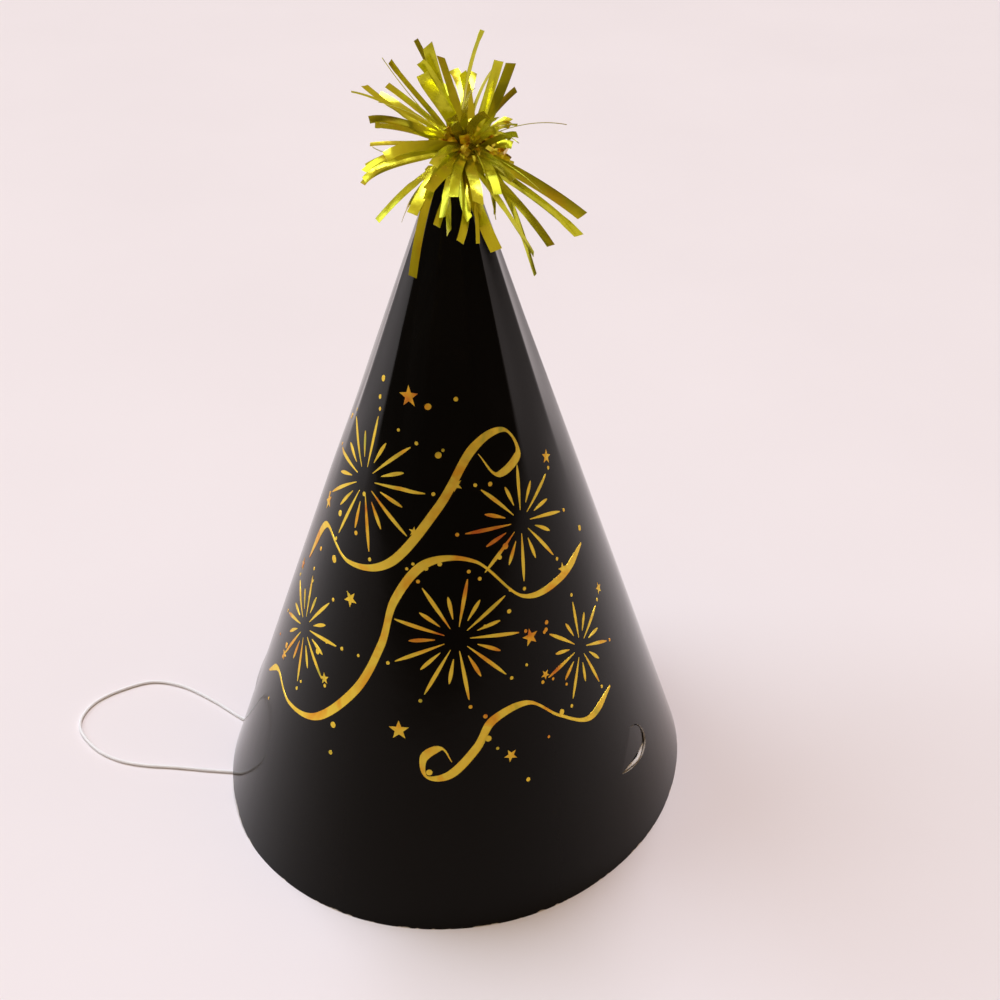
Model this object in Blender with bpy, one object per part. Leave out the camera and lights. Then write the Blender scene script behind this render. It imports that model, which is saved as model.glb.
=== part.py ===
"""A New Year party hat: a rolled card cone, its elastic chin cord and a tinsel pom-pom.

The hat stands on z = 0 with its printed front towards -Y, its glued seam towards +Y and the
wearer's elastic slots towards +X and -X. The origin is the middle of the base. Metres throughout.

A place on the card is given by three numbers: an angle round the cone (0 at the front, growing
towards +X), a distance up the slope from the rim, and a depth (0 on the printed face, negative
towards the inside).
"""

import math

import bmesh
import bpy
from mathutils import Matrix, Vector
from mathutils.geometry import interpolate_bezier

# Card cone
SLOPE = 0.180
BASE_RADIUS = 0.060
OVAL = 0.053
WALL = 0.00045
TIP_HEIGHT = 0.157
COLUMNS = 100
APEX_HEIGHT = math.sqrt(SLOPE**2 - BASE_RADIUS**2)
LEAN = math.atan2(BASE_RADIUS, APEX_HEIGHT)

# Rolled seam at the back: the inner end of the card tucks under the outer end
LAP_HALF_ANGLE = math.radians(7)
LAP_STEP_ANGLE = math.radians(22)
GAP = 0.0003
TAPE = 0.00015
TAPE_SHARE = 0.75
TAPE_COLUMNS = 4
TUCK_DEPTH = WALL + 2 * GAP + TAPE
TAPE_MARGIN = 0.012

# Arch in the rim where both runs of the elastic pass under the card
ARCH_LIFT = 0.0014
ARCH_ANGLE = math.radians(-71)
ARCH_FLAT_HALF = math.radians(19)
ARCH_RAMP = math.radians(20)

# Elastic slots: a die-cut flap in each side, uncut along its hinge line (s, t in metres)
SLOT_ANGLE = math.radians(78)
SLOT_UP = 0.0235
HINGE_LOW = (-0.0069, -0.0032)
HINGE_HIGH = (0.0015, 0.0046)
SLOT_TIP = (0.0073, -0.0019)
SLOT_LOWER_HANDLES = ((-0.0030, -0.0051), (0.0066, -0.0067))
SLOT_UPPER_HANDLES = ((0.0077, 0.0010), (0.0046, 0.0041))
FLAP_LOW = (-0.0060, -0.00275)
FLAP_TOE = (0.0052, -0.0032)
FLAP_TIP = (0.00695, -0.0016)
FLAP_HIGH = (0.00152, 0.00414)
FLAP_TOE_HANDLES = ((0.0064, -0.00325), (0.00695, -0.0026))
FLAP_UPPER_HANDLES = ((0.0073, 0.0009), (0.0043, 0.0037))
CURVE_STEPS = 9
CUTTER_REACH = 0.004
PATCH_SPREAD = math.radians(14)
PATCH_COLUMNS = 12
PATCH_LOW = 0.012
PATCH_HIGH = 0.035
RIGHT_FLAP_FOLD = math.radians(-3)
LEFT_FLAP_FOLD = math.radians(5)

# Elastic cord
CORD_RADIUS = 0.0004
CORD_Z = 0.00045
CORD_STEP = 0.0045
EYE_STEP = 0.0016
KNOT_RADIUS = 0.0012
KNOT_SEGMENTS = 12
KNOT_RINGS = 8
KNOT = (0.0005, 0.0126, -0.0019)
EYE_ROUTE = (
    (0.0018, 0.0139, -0.0016),
    (0.0052, 0.0166, -0.0013),
    (0.0066, 0.0186, -0.00120),
    (0.0054, 0.0193, -0.00085),
    (0.0010, 0.0192, -0.00045),
    (-0.0034, 0.0193, -0.0008),
    (-0.0052, 0.0188, -0.00120),
    (-0.0040, 0.0164, -0.0013),
    (-0.0008, 0.0139, -0.0016),
)
CORD_ROUTE = (
    (-0.0503, -0.0106, 0.0094),
    (-0.0506, -0.0105, 0.0060),
    (-0.0515, -0.0102, 0.0022),
    (-0.0540, -0.0099, 0.0006),
    (-0.0572, -0.0096, CORD_Z),
    (-0.0678, -0.0056, CORD_Z),
    (-0.0784, -0.0030, CORD_Z),
    (-0.0870, -0.0041, CORD_Z),
    (-0.0932, -0.0098, CORD_Z),
    (-0.0969, -0.0158, CORD_Z),
    (-0.0976, -0.0215, CORD_Z),
    (-0.0961, -0.0262, CORD_Z),
    (-0.0922, -0.0300, CORD_Z),
    (-0.0860, -0.0333, CORD_Z),
    (-0.0792, -0.0346, CORD_Z),
    (-0.0725, -0.0340, CORD_Z),
    (-0.0651, -0.0322, CORD_Z),
    (-0.0573, -0.0306, CORD_Z),
    (-0.0505, -0.0290, CORD_Z),
    (-0.0425, -0.0266, CORD_Z),
    (-0.0320, -0.0205, CORD_Z),
    (-0.0200, -0.0150, CORD_Z),
    (-0.0080, -0.0170, CORD_Z),
    (0.0040, -0.0250, CORD_Z),
    (0.0170, -0.0310, CORD_Z),
    (0.0300, -0.0290, CORD_Z),
    (0.0405, -0.0205, 0.0006),
    (0.0472, -0.0118, 0.0024),
    (0.0498, -0.0107, 0.0058),
    (0.0503, -0.0106, 0.0094),
)

# Pom-pom: a tinsel bundle tied at its waist by a wire whose twisted legs pass through the tip
POM = Vector((0.0036, -0.0014, 0.1637))
WAIST_RADIUS = 0.0020
WAIST_FLARE = 0.0030
WAIST_HALF = 0.0036
WIRE_RADIUS = 0.00025
LOOP_RADIUS = 0.0027
LOOP_STEPS = 14
LOOP_OPENING = math.radians(24)
LOOP_PITCH = 0.0008
TWIST_RADIUS = 0.00042
TWIST_TURNS = 3
TWIST_STEPS = 12
TWIST_TOP = Vector((0.0006, -0.0002, 0.1592))
TWIST_LOW = Vector((0.0, 0.0, 0.1512))
TAIL_REACH = 0.0034
TAIL_DROP = 0.0009
TAIL_BEND = 0.0010
TUFT_START = 0.0054
TUFT_ROOT_HALF = 0.0007
TUFT_END_HALF = 0.0020
TUFT_THICK_HALF = 0.0007
# Each ring of tufts: how many, height angle, length from the middle, first angle round
TUFT_RINGS = (
    (1, math.radians(86), 0.0255, 0.0),
    (5, math.radians(48), 0.0270, math.radians(20)),
    (7, math.radians(8), 0.0265, math.radians(0)),
    (6, math.radians(-32), 0.0270, math.radians(25)),
)


def clear_scene() -> None:
    """Empty the file of every object."""
    for obj in list(bpy.data.objects):
        bpy.data.objects.remove(obj, do_unlink=True)


def material(name: str, colour: tuple, roughness: float, metallic: float = 0.0):
    """Make a Principled material of one colour."""
    made = bpy.data.materials.new(name)
    made.use_nodes = True
    shader = made.node_tree.nodes["Principled BSDF"]
    shader.inputs["Base Color"].default_value = (*colour, 1.0)
    shader.inputs["Roughness"].default_value = roughness
    shader.inputs["Metallic"].default_value = metallic
    return made


def add_object(name: str, data, look=None):
    """Link new object data to the scene."""
    obj = bpy.data.objects.new(name, data)
    bpy.context.scene.collection.objects.link(obj)
    if look is not None:
        data.materials.append(look)
    return obj


def add_mesh(name: str, points: list, faces: list, look=None):
    """Make a mesh object whose faces all point outwards."""
    mesh = bpy.data.meshes.new(name)
    mesh.from_pydata(points, [], faces)
    shape = bmesh.new()
    shape.from_mesh(mesh)
    bmesh.ops.recalc_face_normals(shape, faces=shape.faces)
    shape.to_mesh(mesh)
    shape.free()
    mesh.shade_smooth()
    mesh.set_sharp_from_angle(angle=math.radians(35))
    return add_object(name, mesh, look)


def smooth_step(value: float) -> float:
    """Ease from 0 to 1 as the value goes from 0 to 1."""
    held = min(max(value, 0.0), 1.0)
    return held * held * (3 - 2 * held)


def rim_radius(angle: float) -> float:
    """Radius of the slightly oval base at an angle round the cone."""
    return BASE_RADIUS * (1 + OVAL * math.cos(2 * angle))


def outward(angle: float) -> Vector:
    """Outward normal of the card."""
    flat = math.cos(LEAN)
    return Vector((math.sin(angle) * flat, -math.cos(angle) * flat, math.sin(LEAN)))


def card_point(angle: float, height: float, depth: float) -> Vector:
    """Point at a height above the table on the card's face, or at a depth behind it."""
    radius = rim_radius(angle)
    rim = Vector((math.sin(angle) * radius, -math.cos(angle) * radius, 0))
    apex = Vector((0, 0, APEX_HEIGHT))
    share = (APEX_HEIGHT + outward(angle).z * depth - height) / APEX_HEIGHT
    return apex + (rim - apex) * share + outward(angle) * depth


def slope_point(side: int, s: float, t: float, depth: float) -> Vector:
    """Point near a slot: s along the card away from the front, t up the slope from the rim."""
    radius = rim_radius(SLOT_ANGLE) * (SLOPE - t) / SLOPE
    angle = side * (SLOT_ANGLE + s / radius)
    return card_point(angle, t * math.cos(LEAN), depth)


def arch_lift(angle: float) -> float:
    """How far the rim is lifted off the table at an angle round the cone."""
    past_flat = abs(angle - ARCH_ANGLE) - ARCH_FLAT_HALF
    return ARCH_LIFT * (1 - smooth_step(past_flat / ARCH_RAMP))


def tuck(turn: float) -> float:
    """Depth of the card's face, which steps inwards under the lap at the start of the roll."""
    past_lap = (turn + math.pi - LAP_HALF_ANGLE) / LAP_STEP_ANGLE
    return -TUCK_DEPTH * (1 - smooth_step(past_lap))


def curved_strip(name: str, sections: list, look):
    """A strip through a list of four-cornered cross-sections, closed at both ends."""
    points = [point for section in sections for point in section]
    last = 4 * (len(sections) - 1)
    faces = [(0, 1, 2, 3), tuple(last + corner for corner in (3, 2, 1, 0))]
    for start in range(0, last, 4):
        for corner in range(4):
            here = start + corner
            beside = start + (corner + 1) % 4
            faces.append((here, beside, beside + 4, here + 4))
    return add_mesh(name, points, faces, look)


def section(turn: float, low: float, high: float, face: float, thickness: float) -> list:
    """The cross-section of a strip of the roll between two heights above the table."""
    corners = ((high, face), (low, face), (low, face - thickness), (high, face - thickness))
    return [card_point(turn, height, depth) for height, depth in corners]


def turns(middle: float, half: float, columns: int) -> list:
    """Even angles round the cone about a middle angle."""
    return [middle + half * (2 * column / columns - 1) for column in range(columns + 1)]


def cone_shell(look):
    """The rolled card: one strip whose two ends lap at the back."""
    sections = []
    for turn in turns(0, math.pi + LAP_HALF_ANGLE, COLUMNS):
        sections.append(section(turn, arch_lift(turn), TIP_HEIGHT, tuck(turn), WALL))
    return curved_strip("cone_shell", sections, look)


def seam_tape(look):
    """The strip of double-sided tape between the two ends of the card."""
    sections = []
    for turn in turns(math.pi, LAP_HALF_ANGLE * TAPE_SHARE, TAPE_COLUMNS):
        sections.append(section(turn, TAPE_MARGIN, TIP_HEIGHT - TAPE_MARGIN, -WALL - GAP, TAPE))
    return curved_strip("seam_tape", sections, look)


def rounded(first: tuple, handles: tuple, last: tuple) -> list:
    """Points along one cubic curve in the plane of a slot."""
    corners = [Vector((*pair, 0)) for pair in (first, *handles, last)]
    return interpolate_bezier(*corners, CURVE_STEPS)


def slot_outline() -> list:
    """The whole die-cut opening."""
    lower = rounded(HINGE_LOW, SLOT_LOWER_HANDLES, SLOT_TIP)
    upper = rounded(SLOT_TIP, SLOT_UPPER_HANDLES, HINGE_HIGH)
    return lower + upper[1:]


def flap_outline() -> list:
    """The flap, a little smaller than its opening and cut straight along its lower edge."""
    toe = rounded(FLAP_TOE, FLAP_TOE_HANDLES, FLAP_TIP)
    upper = rounded(FLAP_TIP, FLAP_UPPER_HANDLES, FLAP_HIGH)
    return [Vector((*FLAP_LOW, 0))] + toe + upper[1:]


def slot_frame(side: int) -> Matrix:
    """Axes at a slot's middle: away from the front, up the slope and outwards."""
    angle = side * SLOT_ANGLE
    middle = slope_point(side, 0, SLOT_UP, 0)
    along = Vector((math.cos(angle), math.sin(angle), 0)) * side
    up = Vector((-math.sin(angle) * math.sin(LEAN), math.cos(angle) * math.sin(LEAN), math.cos(LEAN)))
    frame = Matrix((along, up, outward(angle))).transposed().to_4x4()
    frame.translation = middle
    return frame


def slot_prism(name: str, outline: list, side: int):
    """A prism through the card, used as a cutter."""
    count = len(outline)
    frame = slot_frame(side)
    depths = (-CUTTER_REACH, CUTTER_REACH)
    points = [frame @ Vector((p.x, p.y, depth)) for depth in depths for p in outline]
    faces = [tuple(range(count)), tuple(range(2 * count - 1, count - 1, -1))]
    for corner in range(count):
        beside = (corner + 1) % count
        faces.append((corner, beside, beside + count, corner + count))
    prism = add_mesh(name, points, faces)
    prism.hide_render = True
    prism.display_type = "WIRE"
    return prism


def use_boolean(obj, other, operation: str) -> None:
    """Add a Boolean modifier."""
    cut = obj.modifiers.new(other.name, "BOOLEAN")
    cut.operation = operation
    cut.object = other


def card_patch(name: str, side: int, look):
    """A piece of the same card round a slot, from which its flap is cut."""
    sections = []
    for turn in turns(side * SLOT_ANGLE, PATCH_SPREAD, PATCH_COLUMNS):
        sections.append(section(turn, PATCH_LOW, PATCH_HIGH, 0, WALL))
    return curved_strip(name, sections, look)


def hinge_line(side: int) -> tuple:
    """The two ends of a flap's hinge, in the middle of the card's thickness."""
    ends = []
    for s, t in (HINGE_LOW, HINGE_HIGH):
        ends.append(slope_point(side, s, SLOT_UP + t, -WALL / 2))
    return tuple(ends)


def slot_flap(name: str, side: int, fold: float, look):
    """One die-cut flap, folded about its hinge line; a positive fold is outwards."""
    flap = card_patch(name, side, look)
    use_boolean(flap, slot_prism(name + "_cutter", flap_outline(), side), "INTERSECT")
    low, high = hinge_line(side)
    axis = (high - low).normalized() * side
    graph = bpy.context.evaluated_depsgraph_get()
    cut = bpy.data.meshes.new_from_object(flap.evaluated_get(graph))
    flap.modifiers.clear()
    cut.transform(Matrix.Translation(-low))
    flap.data = cut
    flap.location = low
    flap.rotation_mode = "AXIS_ANGLE"
    flap.rotation_axis_angle = (-fold, *axis)
    return flap


def smooth_points(route: list, step: float) -> list:
    """Points at about even steps along a smooth curve through the route."""
    points = []
    padded = [2 * route[0] - route[1], *route, 2 * route[-1] - route[-2]]
    for before, first, second, after in zip(padded, padded[1:], padded[2:], padded[3:]):
        count = max(1, round((second - first).length / step))
        handle_one = first + (second - before) / 6
        handle_two = second - (after - first) / 6
        points += interpolate_bezier(first, handle_one, handle_two, second, count + 1)[:-1]
    return points + [route[-1]]


def tube(name: str, points: list, radius: float, look):
    """A round rod along a list of points."""
    curve = bpy.data.curves.new(name, "CURVE")
    curve.dimensions = "3D"
    curve.bevel_depth = radius
    curve.bevel_resolution = 2
    curve.use_fill_caps = True
    curve.render_resolution_u = 0
    spline = curve.splines.new("POLY")
    spline.points.add(len(points) - 1)
    for target, point in zip(spline.points, points):
        target.co = (*point, 1.0)
    return add_object(name, curve, look)


def knot(name: str, side: int, look):
    """The overhand knot that closes one end of the elastic."""
    shape = bmesh.new()
    bmesh.ops.create_uvsphere(shape, u_segments=KNOT_SEGMENTS, v_segments=KNOT_RINGS, radius=KNOT_RADIUS)
    mesh = bpy.data.meshes.new(name)
    shape.to_mesh(mesh)
    shape.free()
    mesh.shade_smooth()
    obj = add_object(name, mesh, look)
    obj.location = slope_point(side, *KNOT)
    return obj


def elastic(look) -> None:
    """The chin elastic, with a tied eye round the flap at each end."""
    route = [Vector(point) for point in CORD_ROUTE]
    tube("elastic_cord", smooth_points(route, CORD_STEP), CORD_RADIUS, look)
    for side, word in ((1, "right"), (-1, "left")):
        eye = [slope_point(side, *point) for point in EYE_ROUTE]
        tube(word + "_elastic_eye", smooth_points(eye, EYE_STEP), CORD_RADIUS, look)
        knot(word + "_elastic_knot", side, look)


def twist_points(phase: float) -> list:
    """One leg of the twisted pair, from the bottom up."""
    points = []
    count = TWIST_TURNS * TWIST_STEPS
    for index in range(count + 1):
        share = index / count
        turn = phase + 2 * math.pi * TWIST_TURNS * share
        centre = TWIST_LOW.lerp(TWIST_TOP, share)
        points.append(centre + Vector((math.cos(turn), math.sin(turn), 0)) * TWIST_RADIUS)
    return points


def tie_wire(look):
    """One wire round the tinsel's waist, its legs twisted, passed through the tip and spread."""
    first = twist_points(0)
    second = twist_points(math.pi)
    loop = []
    for index in range(LOOP_STEPS + 1):
        share = index / LOOP_STEPS
        turn = -math.pi / 2 + LOOP_OPENING + 2 * (math.pi - LOOP_OPENING) * share
        ring = Vector((0, math.cos(turn), math.sin(turn))) * LOOP_RADIUS
        loop.append(POM + ring + Vector(((0.5 - share) * LOOP_PITCH, 0, 0)))
    tail_one = [first[0] + Vector((reach, 0, -TAIL_DROP)) for reach in (TAIL_REACH, TAIL_BEND)]
    tail_two = [second[0] + Vector((-reach, 0, -TAIL_DROP)) for reach in (TAIL_BEND, TAIL_REACH)]
    path = tail_one + first + loop + list(reversed(second)) + tail_two
    return tube("tie_wire", path, WIRE_RADIUS, look)


def tinsel_waist(look):
    """The crushed middle of the bundle, narrow where the wire grips it."""
    rows = 6
    sides = 14
    points = []
    for row in range(rows + 1):
        along = 2 * row / rows - 1
        radius = WAIST_RADIUS + (WAIST_FLARE - WAIST_RADIUS) * along**2
        for side in range(sides):
            turn = 2 * math.pi * side / sides
            offset = Vector((along * WAIST_HALF, math.cos(turn) * radius, math.sin(turn) * radius))
            points.append(POM + offset)
    faces = [tuple(range(sides)), tuple(rows * sides + side for side in reversed(range(sides)))]
    for row in range(rows):
        for side in range(sides):
            here = row * sides + side
            beside = row * sides + (side + 1) % sides
            faces.append((here, beside, beside + sides, here + sides))
    return add_mesh("tinsel_waist", points, faces, look)


def tinsel_tuft(name: str, height: float, around: float, length: float, look):
    """A plain wedge that stands for a tuft of tinsel strips."""
    out = Vector((math.sin(around) * math.cos(height), -math.cos(around) * math.cos(height), math.sin(height)))
    across = Vector((math.cos(around), math.sin(around), 0))
    over = out.cross(across)
    points = []
    for reach, half in ((TUFT_START, TUFT_ROOT_HALF), (length, TUFT_END_HALF)):
        for a, b in ((-1, -1), (1, -1), (1, 1), (-1, 1)):
            points.append(POM + out * reach + across * (a * half) + over * (b * TUFT_THICK_HALF))
    faces = [(0, 1, 2, 3), (7, 6, 5, 4), (0, 1, 5, 4), (1, 2, 6, 5), (2, 3, 7, 6), (3, 0, 4, 7)]
    return add_mesh(name, points, faces, look)


def tinsel(look) -> None:
    """Every tuft of the pom-pom, ring by ring from the top."""
    number = 0
    for count, height, length, first in TUFT_RINGS:
        for index in range(count):
            number += 1
            around = first + 2 * math.pi * index / count
            tinsel_tuft(f"tinsel_tuft_{number:02d}", height, around, length, look)


def main() -> None:
    """Build the whole hat."""
    clear_scene()
    card = material("black_gloss_card", (0.012, 0.011, 0.010), 0.18)
    tape = material("clear_tape", (0.80, 0.79, 0.72), 0.30)
    rubber = material("white_elastic", (0.82, 0.81, 0.78), 0.55)
    wire = material("brass_tie_wire", (0.72, 0.55, 0.22), 0.30, 1.0)
    foil = material("gold_tinsel", (0.80, 0.74, 0.16), 0.22, 1.0)
    shell = cone_shell(card)
    for side, word, fold in ((1, "right", RIGHT_FLAP_FOLD), (-1, "left", LEFT_FLAP_FOLD)):
        use_boolean(shell, slot_prism(word + "_slot_cutter", slot_outline(), side), "DIFFERENCE")
        slot_flap(word + "_slot_flap", side, fold, card)
    seam_tape(tape)
    elastic(rubber)
    tie_wire(wire)
    tinsel_waist(foil)
    tinsel(foil)


main()
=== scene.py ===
"""Party hat with a tinsel pom-pom: its finished surfaces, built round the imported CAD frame.

The hat stands on z = 0 with its printed front towards -Y, its glued lap towards +Y and the wearer's
elastic slots towards +X and -X. Everything is in metres.

The card and its foil are worked flat, as they are printed and cut, and then rolled up. A place on
the card is given by its turn round the cone (0 at the front, growing towards +X), its distance up
the slope from the rim and its depth (0 on the printed face, negative towards the inside).
"""

import logging
import math
import random
from collections.abc import Sequence
from dataclasses import dataclass
from enum import Enum

import bmesh
import bpy
from mathutils import Matrix, Vector, noise
from mathutils.geometry import interpolate_bezier


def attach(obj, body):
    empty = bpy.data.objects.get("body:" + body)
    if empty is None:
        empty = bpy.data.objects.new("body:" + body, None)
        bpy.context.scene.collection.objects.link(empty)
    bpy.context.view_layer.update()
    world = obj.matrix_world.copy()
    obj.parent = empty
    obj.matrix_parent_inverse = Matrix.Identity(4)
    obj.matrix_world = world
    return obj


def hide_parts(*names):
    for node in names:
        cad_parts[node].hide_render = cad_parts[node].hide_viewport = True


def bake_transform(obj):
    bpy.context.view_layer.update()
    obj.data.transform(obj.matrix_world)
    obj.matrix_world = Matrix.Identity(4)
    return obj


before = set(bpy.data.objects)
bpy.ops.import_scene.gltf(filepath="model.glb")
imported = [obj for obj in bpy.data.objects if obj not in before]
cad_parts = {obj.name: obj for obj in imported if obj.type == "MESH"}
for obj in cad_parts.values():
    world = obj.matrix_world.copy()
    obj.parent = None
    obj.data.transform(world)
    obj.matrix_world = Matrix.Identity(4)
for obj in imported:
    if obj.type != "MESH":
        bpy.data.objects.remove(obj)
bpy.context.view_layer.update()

logging.basicConfig(level=logging.INFO, format="%(message)s")
LOG = logging.getLogger("party_hat")
MM = 0.001
UP = Vector((0.0, 0.0, 1.0))
NODE_STEP = 240
NODE_ROW = 380
SPLINE_SHARE = 6
CAP_REACH = 0.45
CAP_WIDTH = 0.55
TUBE_CREASE = 60
CARD_CREASE = 30
STRIP_CREASE = 22
SCRAP_CREASE = 14
Colour = tuple[float, float, float]


class Body(Enum):
    """The moving bodies of the hat."""

    CONE = "cone"
    RIGHT_FLAP = "right_flap"
    LEFT_FLAP = "left_flap"
    WIRE = "wire"
    POM_POM = "pom_pom"


class Slot(Enum):
    """The record's material slots."""

    CARD = "card"
    TAPE = "tape"
    ELASTIC = "elastic"
    WIRE = "wire"
    TINSEL = "tinsel"
    FOIL = "foil"


# ---------------------------------------------------------------- working by hand


def deselect_all() -> None:
    """Leave edit mode and select nothing."""
    if bpy.context.mode != "OBJECT":
        bpy.ops.object.mode_set(mode="OBJECT")
    bpy.ops.object.select_all(action="DESELECT")


def pick(piece: bpy.types.Object) -> None:
    """Make one piece the only one selected, and the active one."""
    deselect_all()
    piece.select_set(True)
    bpy.context.view_layer.objects.active = piece


def apply_modifiers(piece: bpy.types.Object) -> None:
    """Apply all of a piece's modifiers, in order."""
    pick(piece)
    for modifier in list(piece.modifiers):
        bpy.ops.object.modifier_apply(modifier=modifier.name)


def settle(piece: bpy.types.Object) -> None:
    """Move a piece's place into its mesh, so that its object sits at the origin."""
    pick(piece)
    bpy.ops.object.transform_apply(location=True, rotation=True, scale=True)


def join(pieces: list[bpy.types.Object], name: str) -> bpy.types.Object:
    """Join pieces into one.

    Args:
        pieces: The pieces, of which the first takes in the others.
        name: The name of the whole.

    Returns:
        The joined piece.
    """
    deselect_all()
    for piece in pieces:
        piece.select_set(True)
    bpy.context.view_layer.objects.active = pieces[0]
    if len(pieces) > 1:
        bpy.ops.object.join()
    pieces[0].name = name
    pieces[0].data.name = name
    return pieces[0]


def add_object(name: str, data: bpy.types.ID) -> bpy.types.Object:
    """Put a new object in the scene."""
    made = bpy.data.objects.new(name, data)
    bpy.context.scene.collection.objects.link(made)
    return made


def face_out(piece: bpy.types.Object) -> None:
    """Turn all of a piece's faces the same way, outwards where it has an inside."""
    pick(piece)
    bpy.ops.object.mode_set(mode="EDIT")
    bpy.ops.mesh.select_all(action="SELECT")
    bpy.ops.mesh.normals_make_consistent(inside=False)
    bpy.ops.object.mode_set(mode="OBJECT")


def next_to(line: Sequence, number: int) -> tuple:
    """The entries before and after one of a line, or that entry itself at an end."""
    return line[max(number - 1, 0)], line[min(number + 1, len(line) - 1)]


def mesh_piece(name: str, points: list, faces: list, uvs: list | None = None) -> bpy.types.Object:
    """Make a piece from points and faces.

    Args:
        name: The piece's name.
        points: Its vertices.
        faces: Its faces, as tuples of vertex numbers.
        uvs: A pair for each corner of each face, if the piece has a UV map.

    Returns:
        The new piece, with its normals facing out.
    """
    mesh = bpy.data.meshes.new(name)
    mesh.from_pydata(points, [], faces)
    if uvs is not None:
        layer = mesh.uv_layers.new(name="UVMap")
        layer.data.foreach_set("uv", [value for pair in uvs for value in pair])
    shape = bmesh.new()
    shape.from_mesh(mesh)
    bmesh.ops.recalc_face_normals(shape, faces=shape.faces)
    shape.to_mesh(mesh)
    shape.free()
    return add_object(name, mesh)


def shade(piece: bpy.types.Object, angle: float) -> None:
    """Shade a piece smooth, with a crease wherever its faces meet at more than an angle."""
    pick(piece)
    bpy.ops.object.shade_smooth_by_angle(angle=math.radians(angle))


def dress(piece: bpy.types.Object, *finishes: bpy.types.Material) -> None:
    """Give a piece its materials, in the order of its slots."""
    piece.data.materials.clear()
    for finish in finishes:
        piece.data.materials.append(finish)


def place(piece: bpy.types.Object, body: Body, slot: Slot, *stands_for: str) -> None:
    """Fix a finished piece to the frame.

    Args:
        piece: The piece.
        body: The CAD body that it moves with.
        slot: The record's material slot; not used.
        stands_for: The CAD nodes that it replaces.
    """
    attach(piece, body.value)
    if stands_for:
        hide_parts(*stands_for)
    LOG.info("%s: %d faces, on %s", piece.name, len(piece.data.polygons), body.value)


def thicken(piece: bpy.types.Object, thickness: float) -> None:
    """Give a film its thickness, half on each side."""
    skin = piece.modifiers.new("film", "SOLIDIFY")
    skin.thickness = thickness
    skin.offset = 0.0
    apply_modifiers(piece)


def even_draws(rng: random.Random) -> Vector:
    """A vector of three even draws between -1 and 1."""
    return Vector([rng.uniform(-1, 1) for _ in range(3)])


def ball_draws(rng: random.Random) -> Vector:
    """A vector of three normal draws, which points any way with the same chance."""
    return Vector([rng.gauss(0, 1) for _ in range(3)])


def ease(value: float) -> float:
    """Ease from 0 to 1 as the value goes from 0 to 1."""
    held = min(max(value, 0.0), 1.0)
    return held * held * (3 - 2 * held)


def smooth_route(route: list[Vector], step: float) -> list[Vector]:
    """Points at about even steps along a smooth curve through a route."""
    points: list[Vector] = []
    padded = [2 * route[0] - route[1], *route, 2 * route[-1] - route[-2]]
    for before, first, second, after in zip(padded, padded[1:], padded[2:], padded[3:]):
        count = max(1, round((second - first).length / step))
        one = first + (second - before) / SPLINE_SHARE
        two = second - (after - first) / SPLINE_SHARE
        points += interpolate_bezier(first, one, two, second, count + 1)[:-1]
    return points + [route[-1]]


def tube(name: str, points: list[Vector], radius: float, sides: int) -> bpy.types.Object:
    """Make a round tube along points, with its UV map running along it in tube widths.

    Args:
        name: The piece's name.
        points: The line that it follows.
        radius: Its radius.
        sides: How many sides it has round.

    Returns:
        The tube, closed at both ends by a rounded cap.
    """
    heading = (points[1] - points[0]).normalized()
    side = heading.cross(UP if abs(heading.z) < 0.9 else Vector((1.0, 0.0, 0.0))).normalized()
    rings = [(points[0] - heading * radius * CAP_REACH, CAP_WIDTH)]
    rings += [(point, 1.0) for point in points]
    last = (points[-1] - points[-2]).normalized()
    rings.append((points[-1] + last * radius * CAP_REACH, CAP_WIDTH))
    vertices: list[Vector] = []
    lengths: list[float] = []
    walked = 0.0
    for index, (centre, share) in enumerate(rings):
        (before, _), (after, _) = next_to(rings, index)
        walked += (centre - before).length
        lengths.append(walked / (2 * radius))
        turned = (after - before).normalized()
        side = (side - turned * side.dot(turned)).normalized()
        other = turned.cross(side)
        for number in range(sides):
            angle = 2 * math.pi * number / sides
            spoke = side * math.cos(angle) + other * math.sin(angle)
            vertices.append(centre + spoke * radius * share)
    faces: list[tuple] = []
    uvs: list[tuple] = []
    for row in range(len(rings) - 1):
        for number in range(sides):
            beside = (number + 1) % sides
            here = row * sides
            faces.append((here + number, here + beside, here + sides + beside, here + sides + number))
            corners = ((row, number), (row, number + 1), (row + 1, number + 1), (row + 1, number))
            uvs += [(lengths[along], around / sides) for along, around in corners]
    for row, order in ((0, range(sides)), (len(rings) - 1, reversed(range(sides)))):
        cap = tuple(row * sides + number for number in order)
        faces.append(cap)
        uvs += [(lengths[row], 0.5)] * sides
    piece = mesh_piece(name, vertices, faces, uvs)
    shade(piece, TUBE_CREASE)
    return piece


# ---------------------------------------------------------------- finishes


def blank_material(name: str) -> tuple:
    """Make a material with an empty node tree, and return it with its nodes and its links."""
    made = bpy.data.materials.new(name)
    made.use_nodes = True
    made.node_tree.nodes.clear()
    return made, made.node_tree.nodes, made.node_tree.links


def set_inputs(node: bpy.types.Node, values: dict) -> None:
    """Set a node's inputs, given by their names."""
    for name, value in values.items():
        node.inputs[name].default_value = value


def set_stops(ramp: bpy.types.Node, stops: Sequence[tuple[float, Colour]]) -> None:
    """Set the stops of a colour ramp, lowest first, each as its position and its colour."""
    elements = ramp.color_ramp.elements
    while len(elements) < len(stops):
        elements.new(1.0)
    for number, (position, tone) in enumerate(stops):
        elements[number].position = position
        elements[number].color = (*tone, 1.0)


def lay_out(nodes: bpy.types.Nodes, effects: tuple) -> None:
    """Lay nodes out in rows, one frame for each effect, given as its title and its nodes."""
    for row, (title, members) in enumerate(effects):
        group = nodes.new("NodeFrame")
        group.label = title
        for column, member in enumerate(members):
            member.location = (column * NODE_STEP, -row * NODE_ROW)
            member.parent = group


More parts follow.
